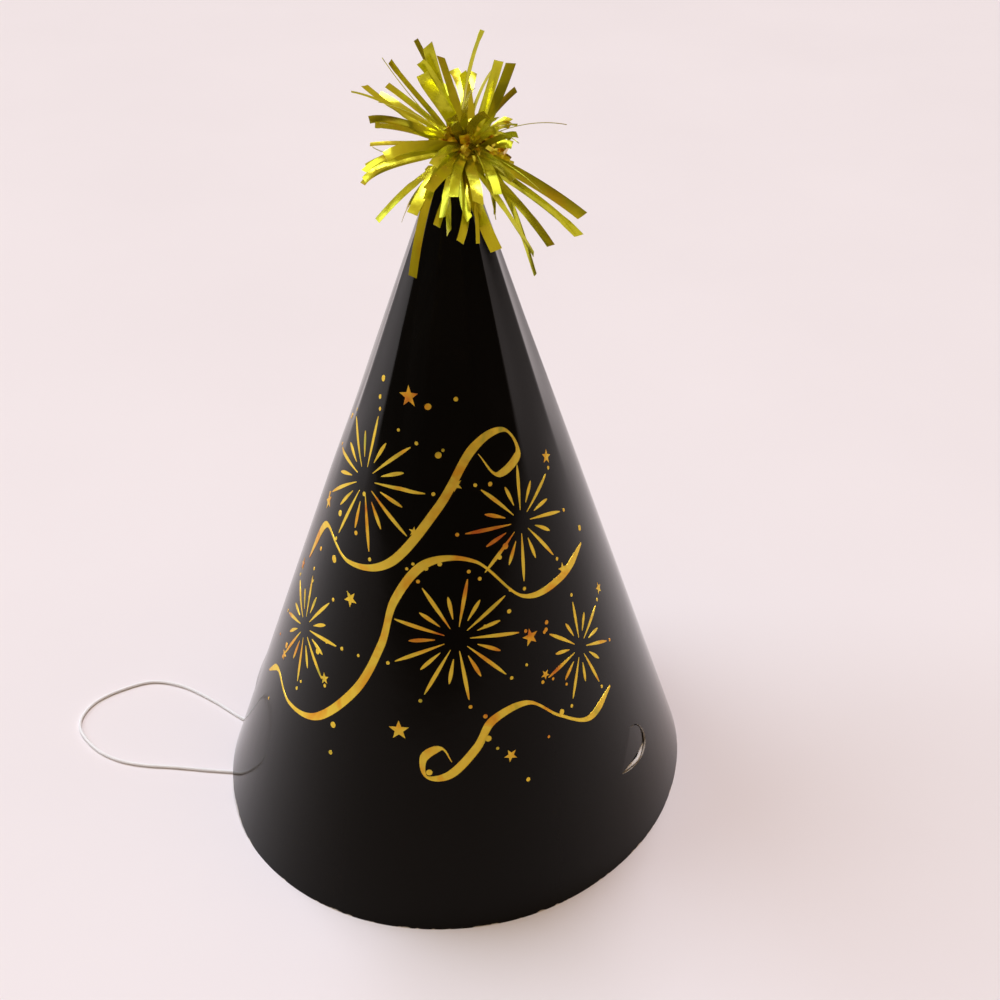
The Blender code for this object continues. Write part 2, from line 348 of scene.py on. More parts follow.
def gloss_card(name: str = "black_gloss_card", ink: Colour = (0.0030, 0.0026, 0.0019),
               scuffed_ink: Colour = (0.0062, 0.0052, 0.0042), board: Colour = (0.62, 0.57, 0.50),
               gloss: float = 0.09, rubbed: float = 0.18) -> bpy.types.Material:
    """Black gloss-laminated card, with a faint orange peel, handling marks and a worn rim.

    Args:
        name: The material's name.
        ink: Colour of the black ink.
        scuffed_ink: Its colour where it is handled.
        board: Colour of the bare board.
        gloss: Roughness of clean film.
        rubbed: Roughness of rubbed film.

    Returns:
        The material.
    """
    made, nodes, links = blank_material(name)
    output = nodes.new("ShaderNodeOutputMaterial")
    output.label = "Card face"
    film = nodes.new("ShaderNodeBsdfPrincipled")
    film.label = "Gloss laminate"
    set_inputs(film, {"IOR": 1.5, "Specular Tint": (0.15, 0.14, 0.13, 1.0)})

    where = nodes.new("ShaderNodeTexCoord")
    where.label = "Place in the hat"
    clouds = nodes.new("ShaderNodeTexNoise")
    clouds.label = "Handling haze"
    set_inputs(clouds, {"Scale": 26.0, "Detail": 6.0, "Roughness": 0.6})
    haze = nodes.new("ShaderNodeMapRange")
    haze.label = "Gloss to rubbed"
    set_inputs(haze, {"From Min": 0.35, "From Max": 0.80, "To Min": gloss, "To Max": rubbed})
    links.new(where.outputs["Object"], clouds.inputs["Vector"])
    links.new(clouds.outputs["Fac"], haze.inputs["Value"])
    links.new(haze.outputs["Result"], film.inputs["Roughness"])

    ink_tone = nodes.new("ShaderNodeMix")
    ink_tone.label = "Ink under the film"
    ink_tone.data_type = "RGBA"
    set_inputs(ink_tone, {"A": (*ink, 1.0), "B": (*scuffed_ink, 1.0)})
    links.new(clouds.outputs["Fac"], ink_tone.inputs["Factor"])

    edge = nodes.new("ShaderNodeAttribute")
    edge.label = "Nearness to a cut edge"
    edge.attribute_name = "near_edge"
    chips = nodes.new("ShaderNodeTexNoise")
    chips.label = "Chips along the rim"
    set_inputs(chips, {"Scale": 330.0, "Detail": 6.0})
    worn = nodes.new("ShaderNodeMath")
    worn.label = "Chips where the rim is near"
    worn.operation = "MULTIPLY"
    worn_step = nodes.new("ShaderNodeMapRange")
    worn_step.label = "Bare board"
    set_inputs(worn_step, {"From Min": 0.47, "From Max": 0.54})
    worn_mix = nodes.new("ShaderNodeMix")
    worn_mix.label = "Ink chipped to the board"
    worn_mix.data_type = "RGBA"
    worn_mix.inputs["B"].default_value = (*board, 1.0)
    links.new(where.outputs["Object"], chips.inputs["Vector"])
    links.new(chips.outputs["Fac"], worn.inputs[0])
    links.new(edge.outputs["Fac"], worn.inputs[1])
    links.new(worn.outputs["Value"], worn_step.inputs["Value"])
    links.new(worn_step.outputs["Result"], worn_mix.inputs["Factor"])
    links.new(ink_tone.outputs["Result"], worn_mix.inputs["A"])
    links.new(worn_mix.outputs["Result"], film.inputs["Base Color"])

    peel = nodes.new("ShaderNodeTexNoise")
    peel.label = "Orange peel"
    set_inputs(peel, {"Scale": 420.0, "Detail": 2.0})
    swell = nodes.new("ShaderNodeTexNoise")
    swell.label = "Slow waves in the board"
    set_inputs(swell, {"Scale": 38.0, "Detail": 1.5})
    swell_bump = nodes.new("ShaderNodeBump")
    swell_bump.label = "Board waves"
    set_inputs(swell_bump, {"Strength": 0.05, "Distance": 0.0030})
    peel_bump = nodes.new("ShaderNodeBump")
    peel_bump.label = "Film texture"
    set_inputs(peel_bump, {"Strength": 0.05, "Distance": 0.00020})
    links.new(where.outputs["Object"], peel.inputs["Vector"])
    links.new(where.outputs["Object"], swell.inputs["Vector"])
    links.new(swell.outputs["Fac"], swell_bump.inputs["Height"])
    links.new(peel.outputs["Fac"], peel_bump.inputs["Height"])
    links.new(swell_bump.outputs["Normal"], peel_bump.inputs["Normal"])
    links.new(peel_bump.outputs["Normal"], film.inputs["Normal"])
    links.new(film.outputs["BSDF"], output.inputs["Surface"])

    effects = (
        ("Haze and ink", (where, clouds, haze, ink_tone)),
        ("Worn rim", (edge, chips, worn, worn_step, worn_mix)),
        ("Relief", (peel, swell, swell_bump, peel_bump)),
        ("Surface", (film, output)),
    )
    lay_out(nodes, effects)
    return made


def plain_board(name: str, pale: Colour, dark: Colour, fibre_scale: float,
                relief: float) -> bpy.types.Material:
    """Uncoated card stock: the back of the sheet, or the core that shows at a cut.

    Args:
        name: The material's name.
        pale: Its palest tone.
        dark: Its darkest tone.
        fibre_scale: Fineness of the fibres.
        relief: Strength of their relief.

    Returns:
        The material.
    """
    made, nodes, links = blank_material(name)
    output = nodes.new("ShaderNodeOutputMaterial")
    output.label = "Board"
    pulp = nodes.new("ShaderNodeBsdfPrincipled")
    pulp.label = "Paper pulp"
    set_inputs(pulp, {"Roughness": 0.82, "Sheen Weight": 0.15})
    where = nodes.new("ShaderNodeTexCoord")
    where.label = "Place in the hat"
    lie = nodes.new("ShaderNodeMapping")
    lie.label = "Fibres lie along the sheet"
    lie.inputs["Scale"].default_value = (1.0, 1.0, 0.35)
    fibres = nodes.new("ShaderNodeTexNoise")
    fibres.label = "Fibres"
    set_inputs(fibres, {"Scale": fibre_scale, "Detail": 8.0, "Roughness": 0.7})
    tones = nodes.new("ShaderNodeValToRGB")
    tones.label = "Fibre tones"
    set_stops(tones, ((0.34, dark), (0.62, pale)))
    bump = nodes.new("ShaderNodeBump")
    bump.label = "Fibre relief"
    set_inputs(bump, {"Strength": relief, "Distance": 0.0001})
    links.new(where.outputs["Object"], lie.inputs["Vector"])
    links.new(lie.outputs["Vector"], fibres.inputs["Vector"])
    links.new(fibres.outputs["Fac"], tones.inputs["Fac"])
    links.new(tones.outputs["Color"], pulp.inputs["Base Color"])
    links.new(fibres.outputs["Fac"], bump.inputs["Height"])
    links.new(bump.outputs["Normal"], pulp.inputs["Normal"])
    links.new(pulp.outputs["BSDF"], output.inputs["Surface"])
    effects = (
        ("Fibre pattern", (where, lie, fibres, tones)),
        ("Relief", (bump,)),
        ("Surface", (pulp, output)),
    )
    lay_out(nodes, effects)
    return made


def metal_foil(name: str, tones: tuple[Colour, ...], drift_scale: float, crinkle_scale: float,
               crinkle: float, smooth: float, dull: float, metallic: float = 1.0) -> bpy.types.Material:
    """Metallised film: a base colour that drifts between tones, over crinkles of its own size.

    Args:
        name: The material's name.
        tones: The colours that it drifts between.
        drift_scale: Fineness of the drift.
        crinkle_scale: Fineness of the crinkles.
        crinkle: Strength of their relief.
        smooth: Roughness where it is bright.
        dull: Roughness where it is dull.
        metallic: How much of it shines as metal.

    Returns:
        The material.
    """
    made, nodes, links = blank_material(name)
    output = nodes.new("ShaderNodeOutputMaterial")
    output.label = "Foil"
    metal = nodes.new("ShaderNodeBsdfPrincipled")
    metal.label = "Vacuum-coated film"
    metal.inputs["Metallic"].default_value = metallic
    where = nodes.new("ShaderNodeTexCoord")
    where.label = "Place in the hat"
    drift = nodes.new("ShaderNodeTexNoise")
    drift.label = "Colour drift"
    set_inputs(drift, {"Scale": drift_scale, "Detail": 3.0, "Distortion": 0.6})
    ramp = nodes.new("ShaderNodeValToRGB")
    ramp.label = "Foil tones"
    last = len(tones) - 1
    set_stops(ramp, [(0.30 + 0.40 * number / last, tone) for number, tone in enumerate(tones)])
    crinkles = nodes.new("ShaderNodeTexNoise")
    crinkles.label = "Crinkles"
    set_inputs(crinkles, {"Scale": crinkle_scale, "Detail": 2.5})
    wear = nodes.new("ShaderNodeMapRange")
    wear.label = "Bright to dull"
    set_inputs(wear, {"From Min": 0.30, "From Max": 0.75, "To Min": smooth, "To Max": dull})
    bump = nodes.new("ShaderNodeBump")
    bump.label = "Crinkle relief"
    set_inputs(bump, {"Strength": crinkle, "Distance": 0.0004})
    links.new(where.outputs["Object"], drift.inputs["Vector"])
    links.new(where.outputs["Object"], crinkles.inputs["Vector"])
    links.new(drift.outputs["Fac"], ramp.inputs["Fac"])
    links.new(ramp.outputs["Color"], metal.inputs["Base Color"])
    links.new(crinkles.outputs["Fac"], wear.inputs["Value"])
    links.new(wear.outputs["Result"], metal.inputs["Roughness"])
    links.new(crinkles.outputs["Fac"], bump.inputs["Height"])
    links.new(bump.outputs["Normal"], metal.inputs["Normal"])
    links.new(metal.outputs["BSDF"], output.inputs["Surface"])
    effects = (
        ("Colour", (where, drift, ramp)),
        ("Crinkles and wear", (crinkles, wear, bump)),
        ("Surface", (metal, output)),
    )
    lay_out(nodes, effects)
    return made


def woven_elastic(name: str = "white_elastic", yarn: Colour = (0.98, 0.97, 0.95),
                  groove_shade: Colour = (0.94, 0.92, 0.89)) -> bpy.types.Material:
    """White covered elastic: fine yarn wound round a rubber core, read along the cord's own UV map.

    Args:
        name: The material's name.
        yarn: Colour of the yarn.
        groove_shade: Painted shade between its turns: the yarn's colour made a little darker where the
            winding dips.

    Returns:
        The material.
    """
    made, nodes, links = blank_material(name)
    output = nodes.new("ShaderNodeOutputMaterial")
    output.label = "Elastic"
    fibre = nodes.new("ShaderNodeBsdfPrincipled")
    fibre.label = "Polyester yarn"
    set_inputs(fibre, {"Roughness": 0.55, "Specular IOR Level": 0.2, "Subsurface Weight": 1.0,
                       "Subsurface Radius": (1.0, 1.0, 1.0), "Subsurface Scale": 0.0006})
    along = nodes.new("ShaderNodeTexCoord")
    along.label = "Along and round the cord"
    winding = nodes.new("ShaderNodeTexWave")
    winding.label = "Yarn winding"
    winding.wave_type = "BANDS"
    winding.bands_direction = "DIAGONAL"
    set_inputs(winding, {"Scale": 1.1, "Distortion": 0.5})
    tones = nodes.new("ShaderNodeValToRGB")
    tones.label = "Yarn and groove"
    # Painted shade: the low parts of the winding take the darker tone, as if shaded in the grooves.
    set_stops(tones, ((0.05, groove_shade), (0.40, yarn)))
    bump = nodes.new("ShaderNodeBump")
    bump.label = "Winding relief"
    set_inputs(bump, {"Strength": 0.6, "Distance": 0.00006})
    links.new(along.outputs["UV"], winding.inputs["Vector"])
    links.new(winding.outputs["Fac"], tones.inputs["Fac"])
    links.new(tones.outputs["Color"], fibre.inputs["Base Color"])
    links.new(winding.outputs["Fac"], bump.inputs["Height"])
    links.new(bump.outputs["Normal"], fibre.inputs["Normal"])
    links.new(fibre.outputs["BSDF"], output.inputs["Surface"])
    effects = (
        ("Winding", (along, winding, tones, bump)),
        ("Surface", (fibre, output)),
    )
    lay_out(nodes, effects)
    return made


# ---------------------------------------------------------------- the rolled card


@dataclass(frozen=True)
class Crease:
    """A soft dent line: its points (turn in degrees, slope in mm), depth and half width in mm."""

    points: tuple[tuple[float, float], ...]
    depth: float
    half_width: float


@dataclass(frozen=True)
class ConeForm:
    """The shape of the rolled card, shared by the sheet, its flaps and its foil."""

    slope: float = 0.180
    base_radius: float = 0.060
    oval: float = 0.053
    wall: float = 0.00045
    tip_height: float = 0.157
    lap_half: float = math.radians(7)
    lap_step: float = math.radians(22)
    lap_depth: float = 0.00066
    arch_lift: float = 0.0014
    arch_angle: float = math.radians(-71)
    arch_flat: float = math.radians(19)
    arch_ramp: float = math.radians(20)
    facets: tuple[float, ...] = (-150, -118, -84, -52, -24, 2, 31, 58, 88, 120, 150)
    facet_from: float = 0.088
    facet_to: float = 0.128
    facet_share: float = 0.85
    slot_angle: float = math.radians(78)
    dents_from: float = 0.09
    dent_fall: float = 1.3
    ripple_end: float = math.radians(140)
    ripple_fade: float = math.radians(20)
    ripples: tuple = ((0.10, 4, 0.6, 6), (0.05, 9, 2.1, -9))
    creases: tuple[Crease, ...] = (
        Crease(((-15, 152), (-17, 136), (-13, 126), (-11, 118), (-7, 108), (-4, 98)), 0.16, 2.4),
        Crease(((2, 147), (-7, 139), (-16, 135)), 0.22, 2.6),
        Crease(((22, 133.5), (26, 132)), 0.22, 1.3),
        Crease(((8, 142), (15, 134), (18, 122), (20, 108)), 0.10, 3.2),
        Crease(((47, 146), (52, 128), (50, 112)), 0.10, 3.5),
        Crease(((-62, 140), (-58, 124), (-61, 110)), 0.12, 3.2),
        Crease(((132, 143), (124, 130), (127, 118)), 0.12, 3.2),
    )

    @property
    def apex(self) -> float:
        """Height of the cone's point, were it not cut off."""
        return math.sqrt(self.slope**2 - self.base_radius**2)

    @property
    def lean(self) -> float:
        """Angle between the slope and the upright."""
        return math.atan2(self.base_radius, self.apex)

    def rim_radius(self, turn: float) -> float:
        """Radius of the slightly oval rim."""
        return self.base_radius * (1 + self.oval * math.cos(2 * turn))

    def outward(self, turn: float) -> Vector:
        """Outward normal of the card."""
        flat = math.cos(self.lean)
        return Vector((math.sin(turn) * flat, -math.cos(turn) * flat, math.sin(self.lean)))

    def point(self, turn: float, height: float, depth: float) -> Vector:
        """Point at a height on the plain cone, or at a depth behind its face."""
        radius = self.rim_radius(turn)
        rim = Vector((math.sin(turn) * radius, -math.cos(turn) * radius, 0))
        peak = Vector((0, 0, self.apex))
        share = (self.apex + self.outward(turn).z * depth - height) / self.apex
        return peak + (rim - peak) * share + self.outward(turn) * depth

    def slot_point(self, side: int, s: float, t: float, depth: float) -> Vector:
        """Point near a slot: s along the card away from the front, t up the slope."""
        radius = self.rim_radius(self.slot_angle) * (self.slope - t) / self.slope
        return self.point(side * (self.slot_angle + s / radius), t * math.cos(self.lean), depth)

    def rim_lift(self, turn: float) -> float:
        """How far the rim is off the table."""
        past = abs(turn - self.arch_angle) - self.arch_flat
        return self.arch_lift * (1 - ease(past / self.arch_ramp))

    def crease_depth(self, turn: float, t: float) -> float:
        """Depth of the dents at a place."""
        radius = self.base_radius * (self.slope - t) / self.slope
        total = 0.0
        for crease in self.creases:
            best = crease.half_width * MM
            for (a_turn, a_t), (b_turn, b_t) in zip(crease.points, crease.points[1:]):
                ax, ay = (turn - math.radians(a_turn)) * radius, t - a_t * MM
                bx, by = math.radians(b_turn - a_turn) * radius, (b_t - a_t) * MM
                along = min(max((ax * bx + ay * by) / (bx * bx + by * by), 0.0), 1.0)
                best = min(best, math.hypot(ax - bx * along, ay - by * along))
            near = 1 - best / (crease.half_width * MM)
            total += crease.depth * MM * near ** self.dent_fall
        return -total

    def facet_depth(self, turn: float, t: float) -> float:
        """Depth of the flats that a tight roll leaves near the tip."""
        strength = self.facet_share * ease((t - self.facet_from) / (self.facet_to - self.facet_from))
        degrees = math.degrees(turn)
        for low, high in zip(self.facets, self.facets[1:]):
            if low <= degrees < high:
                radius = self.base_radius * (self.slope - t) / self.slope
                half = math.radians(high - low) / 2
                away = turn - math.radians(low + high) / 2
                return strength * radius * (math.cos(half) / math.cos(away) - 1)
        return 0.0

    def ripple(self, turn: float, t: float) -> float:
        """Slow waves that paper keeps from being rolled."""
        fade = 1 - ease((abs(turn) - self.ripple_end) / self.ripple_fade)
        wave = sum(size * math.sin(count * turn + shift + climb * t)
                   for size, count, shift, climb in self.ripples)
        return wave * MM * fade

    def face(self, turn: float, t: float, depth: float) -> Vector:
        """Point on the finished card: turn, distance up the slope and depth behind its face."""
        tucked = -self.lap_depth * (1 - ease((turn + math.pi - self.lap_half) / self.lap_step))
        relief = self.ripple(turn, t) + self.facet_depth(turn, t)
        relief += self.crease_depth(turn, t) if t > self.dents_from else 0.0
        return self.point(turn, t * math.cos(self.lean), tucked + relief + depth)

    def roll_up(self, piece: bpy.types.Object) -> None:
        """Roll flat work round the cone; flat, the apex is above the front's middle line."""
        for vertex in piece.data.vertices:
            x, y, depth = vertex.co
            reach = math.hypot(x, self.slope - y)
            turn = math.atan2(x, self.slope - y) * self.slope / self.base_radius
            vertex.co = self.face(turn, self.slope - reach, depth)
        piece.data.update()


@dataclass
class CardCone:
    """The rolled card with its lap, its tape and the two die-cut flaps that hold the elastic."""

    form: ConeForm
    columns: int = 250
    rows: int = 132
    slot_up: float = 0.0235
    hinge_low: tuple[float, float] = (-0.0069, -0.0032)
    hinge_high: tuple[float, float] = (0.0015, 0.0046)
    slot_tip: tuple[float, float] = (0.0073, -0.0019)
    slot_lower: tuple = ((-0.0030, -0.0051), (0.0066, -0.0067))
    slot_upper: tuple = ((0.0077, 0.0010), (0.0046, 0.0041))
    hinge_margin: float = 0.0007
    hinge_bend: float = 0.00045
    flap_toe: tuple[float, float] = (0.0052, -0.0032)
    flap_tip: tuple[float, float] = (0.00695, -0.0016)
    flap_upper_end: tuple[float, float] = (0.00175, 0.00437)
    flap_toe_handles: tuple = ((0.0064, -0.00325), (0.00695, -0.0026))
    flap_upper_handles: tuple = ((0.0073, 0.0009), (0.0043, 0.0038))
    curve_steps: int = 22
    folds: tuple[float, float] = (math.radians(-3), math.radians(5))
    patch_spread: float = math.radians(10.5)
    patch_slopes: tuple[float, float] = (0.0165, 0.0300)
    tape_spread: float = math.radians(5.2)
    tape_slopes: tuple[float, float] = (0.013, 0.153)
    tape_thickness: float = 0.00012
    glue_gap: float = 0.00004
    patch_grid: tuple[int, int] = (66, 44)
    tape_grid: tuple[int, int] = (10, 60)
    row_growth: float = 1.02
    worn_band: float = 0.0012
    rim_zone: float = 0.005
    cutter_reach: float = 0.004
    root_share: float = 0.02

    def sheet(self, name: str, turns: tuple[float, float], slopes: tuple[float, float],
              columns: int, rows: int, thickness: float, depth: float = 0.0) -> bpy.types.Object:
        """Roll a sheet of card between two turns and two distances up the slope.

        Args:
            name: The piece's name.
            turns: The first and last turn round the cone.
            slopes: The lowest and highest distance up the slope.
            columns: How many strips it has round.
            rows: How many strips it has up.
            thickness: Its thickness.
            depth: How far its outer face lies behind the printed face.

        Returns:
            The sheet, with its outer face, its back and its cut edges in material slots 0, 1 and 2.
        """
        deselect_all()
        bpy.ops.mesh.primitive_grid_add(x_subdivisions=columns, y_subdivisions=rows, size=1)
        piece = bpy.context.object
        piece.name = name
        piece.data.name = name
        near_edge = piece.data.attributes.new("near_edge", "FLOAT", "POINT")
        for number, vertex in enumerate(piece.data.vertices):
            turn = turns[0] + (vertex.co.x + 0.5) * (turns[1] - turns[0])
            low = max(slopes[0], self.form.rim_lift(turn) / math.cos(self.form.lean))
            t = low + (vertex.co.y + 0.5) ** self.row_growth * (slopes[1] - low)
            if low < self.rim_zone:
                near_edge.data[number].value = max(0.0, 1 - (t - low) / self.worn_band)
            vertex.co = self.form.face(turn, t, depth)
        piece.data.update()
        for _ in range(3):
            piece.data.materials.append(None)
        wall = piece.modifiers.new("thickness", "SOLIDIFY")
        wall.thickness = thickness
        wall.offset = -1.0
        wall.use_even_offset = False
        wall.material_offset = 1
        wall.material_offset_rim = 2
        face_out(piece)
        middle = piece.data.polygons[len(piece.data.polygons) // 2]
        if middle.normal.dot(Vector((middle.center.x, middle.center.y, 0))) < 0:
            bpy.ops.object.mode_set(mode="EDIT")
            bpy.ops.mesh.flip_normals()
            bpy.ops.object.mode_set(mode="OBJECT")
        apply_modifiers(piece)
        for vertex in piece.data.vertices:
            vertex.co.z = max(vertex.co.z, 0.0)
        return piece

    def curve(self, first: tuple, handles: tuple, last: tuple) -> list[Vector]:
        """Points along one cubic curve in the plane of a slot."""
        corners = [Vector((*pair, 0)) for pair in (first, *handles, last)]
        return interpolate_bezier(*corners, self.curve_steps)

    def past_hinge(self) -> list[Vector]:
        """The two corners, just past the hinge line, where a flap's piece meets the cone's."""
        low, high = Vector((*self.hinge_low, 0)), Vector((*self.hinge_high, 0))
        away = UP.cross(high - low).normalized() * self.hinge_margin
        return [high + away, low + away]

    def slot_outline(self) -> list[Vector]:
        """The die-cut opening."""
        lower = self.curve(self.hinge_low, self.slot_lower, self.slot_tip)
        upper = self.curve(self.slot_tip, self.slot_upper, self.hinge_high)
        return lower + upper[1:] + self.past_hinge()

    def flap_outline(self) -> list[Vector]:
        """The flap, cut straight along its lower edge and carried on past its hinge line."""
        toe = self.curve(self.flap_toe, self.flap_toe_handles, self.flap_tip)
        upper = self.curve(self.flap_tip, self.flap_upper_handles, self.flap_upper_end)
        root = [Vector((*self.hinge_low, 0)).lerp(Vector((*self.flap_toe, 0)), self.root_share)]
        return root + toe + upper[1:] + [Vector((*self.hinge_high, 0))] + self.past_hinge() + [
            Vector((*self.hinge_low, 0))]

    def cutter(self, name: str, outline: list[Vector], side: int,
               edge: bpy.types.Material) -> bpy.types.Object:
        """A prism through the card at a slot, whose sides leave the cut-edge finish."""
        turn = side * self.form.slot_angle
        lean = self.form.lean
        centre = self.form.slot_point(side, 0, self.slot_up, 0)
        along = Vector((math.cos(turn), math.sin(turn), 0)) * side
        up = Vector((-math.sin(turn) * math.sin(lean), math.cos(turn) * math.sin(lean), math.cos(lean)))
        axes = Matrix((along, up, self.form.outward(turn))).transposed().to_4x4()
        axes.translation = centre
        count = len(outline)
        points = [axes @ Vector((p.x, p.y, z)) for z in (-self.cutter_reach, self.cutter_reach)
                  for p in outline]
        faces = [tuple(range(count)), tuple(range(2 * count - 1, count - 1, -1))]
        faces += [(n, (n + 1) % count, (n + 1) % count + count, n + count) for n in range(count)]
        prism = mesh_piece(name, points, faces)
        dress(prism, edge)
        return prism

    def trim(self, piece: bpy.types.Object, prism: bpy.types.Object, operation: str) -> None:
        """Cut a sheet with a prism, and throw the prism away."""
        cut = piece.modifiers.new("die_cut", "BOOLEAN")
        cut.operation = operation
        cut.solver = "EXACT"
        cut.material_mode = "TRANSFER"
        cut.object = prism
        apply_modifiers(piece)
        bpy.data.objects.remove(prism)

    def fold(self, piece: bpy.types.Object, side: int, angle: float) -> tuple[Vector, Vector]:
        """Fold a flap along its hinge line, in a narrow bend.

        Args:
            piece: The flap.
            side: 1 for the right one, -1 for the left one.
            angle: How far to fold it; a positive angle is outwards.

        Returns:
            The points across the hinge where the bend starts and ends.
        """
        low, high, toe = (
            self.form.slot_point(side, s, self.slot_up + t, -self.form.wall / 2)
            for s, t in (self.hinge_low, self.hinge_high, self.flap_toe)
        )
        along = (high - low).normalized()
        inward = (toe - low) - along * (toe - low).dot(along)
        inward.normalize()
        start, end = low - inward * self.hinge_bend, low + inward * self.hinge_bend
        for vertex in piece.data.vertices:
            share = ease((vertex.co - start).dot(inward) / (2 * self.hinge_bend))
            turned = Matrix.Rotation(-angle * share, 3, along * side)
            vertex.co = low + turned @ (vertex.co - low)
        piece.data.update()
        return start, end

    def build(self, face: bpy.types.Material, back: bpy.types.Material, edge: bpy.types.Material,
              tape: bpy.types.Material) -> None:
        """Build the sheet, its flaps and its tape."""
        form = self.form
        lap = math.pi + form.lap_half
        top = form.tip_height / math.cos(form.lean)
        shell = self.sheet("card_cone", (-lap, lap), (0.0, top), self.columns, self.rows, form.wall)
        dress(shell, face, back, edge)
        for side, body, fold, node in (
            (1, Body.RIGHT_FLAP, self.folds[0], "right_slot_flap"),
            (-1, Body.LEFT_FLAP, self.folds[1], "left_slot_flap"),
        ):
            self.trim(shell, self.cutter("slot_cutter", self.slot_outline(), side, edge), "DIFFERENCE")
            middle = side * self.form.slot_angle
            turns = (middle - self.patch_spread, middle + self.patch_spread)
            flap = self.sheet(node + "_card", turns, self.patch_slopes, *self.patch_grid, form.wall)
            dress(flap, face, back, edge)
            self.trim(flap, self.cutter("flap_cutter", self.flap_outline(), side, edge), "INTERSECT")
            start, end = self.fold(flap, side, fold)
            shade(flap, CARD_CREASE)
            tuple(start)
            tuple(end)
            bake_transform(flap)
            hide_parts(node)
            LOG.info("%s: %d faces, bends from cone to %s",
                     flap.name, len(flap.data.polygons), body.value)
        shade(shell, CARD_CREASE)
        place(shell, Body.CONE, Slot.CARD, "cone_shell")
        turns = (math.pi - self.tape_spread, math.pi + self.tape_spread)
        strip = self.sheet("lap_tape", turns, self.tape_slopes, *self.tape_grid,
                           self.tape_thickness, -form.wall - self.glue_gap)
        dress(strip, tape, tape, tape)
        shade(strip, CARD_CREASE)
        place(strip, Body.CONE, Slot.TAPE, "seam_tape")


# ---------------------------------------------------------------- the stamped foil


@dataclass(frozen=True)
class Burst:
    """A firework: its middle on the flat card, its reach and its number of rays (mm)."""

    x: float
    y: float
    reach: float
    rays: int
    tilt: float = 0.0


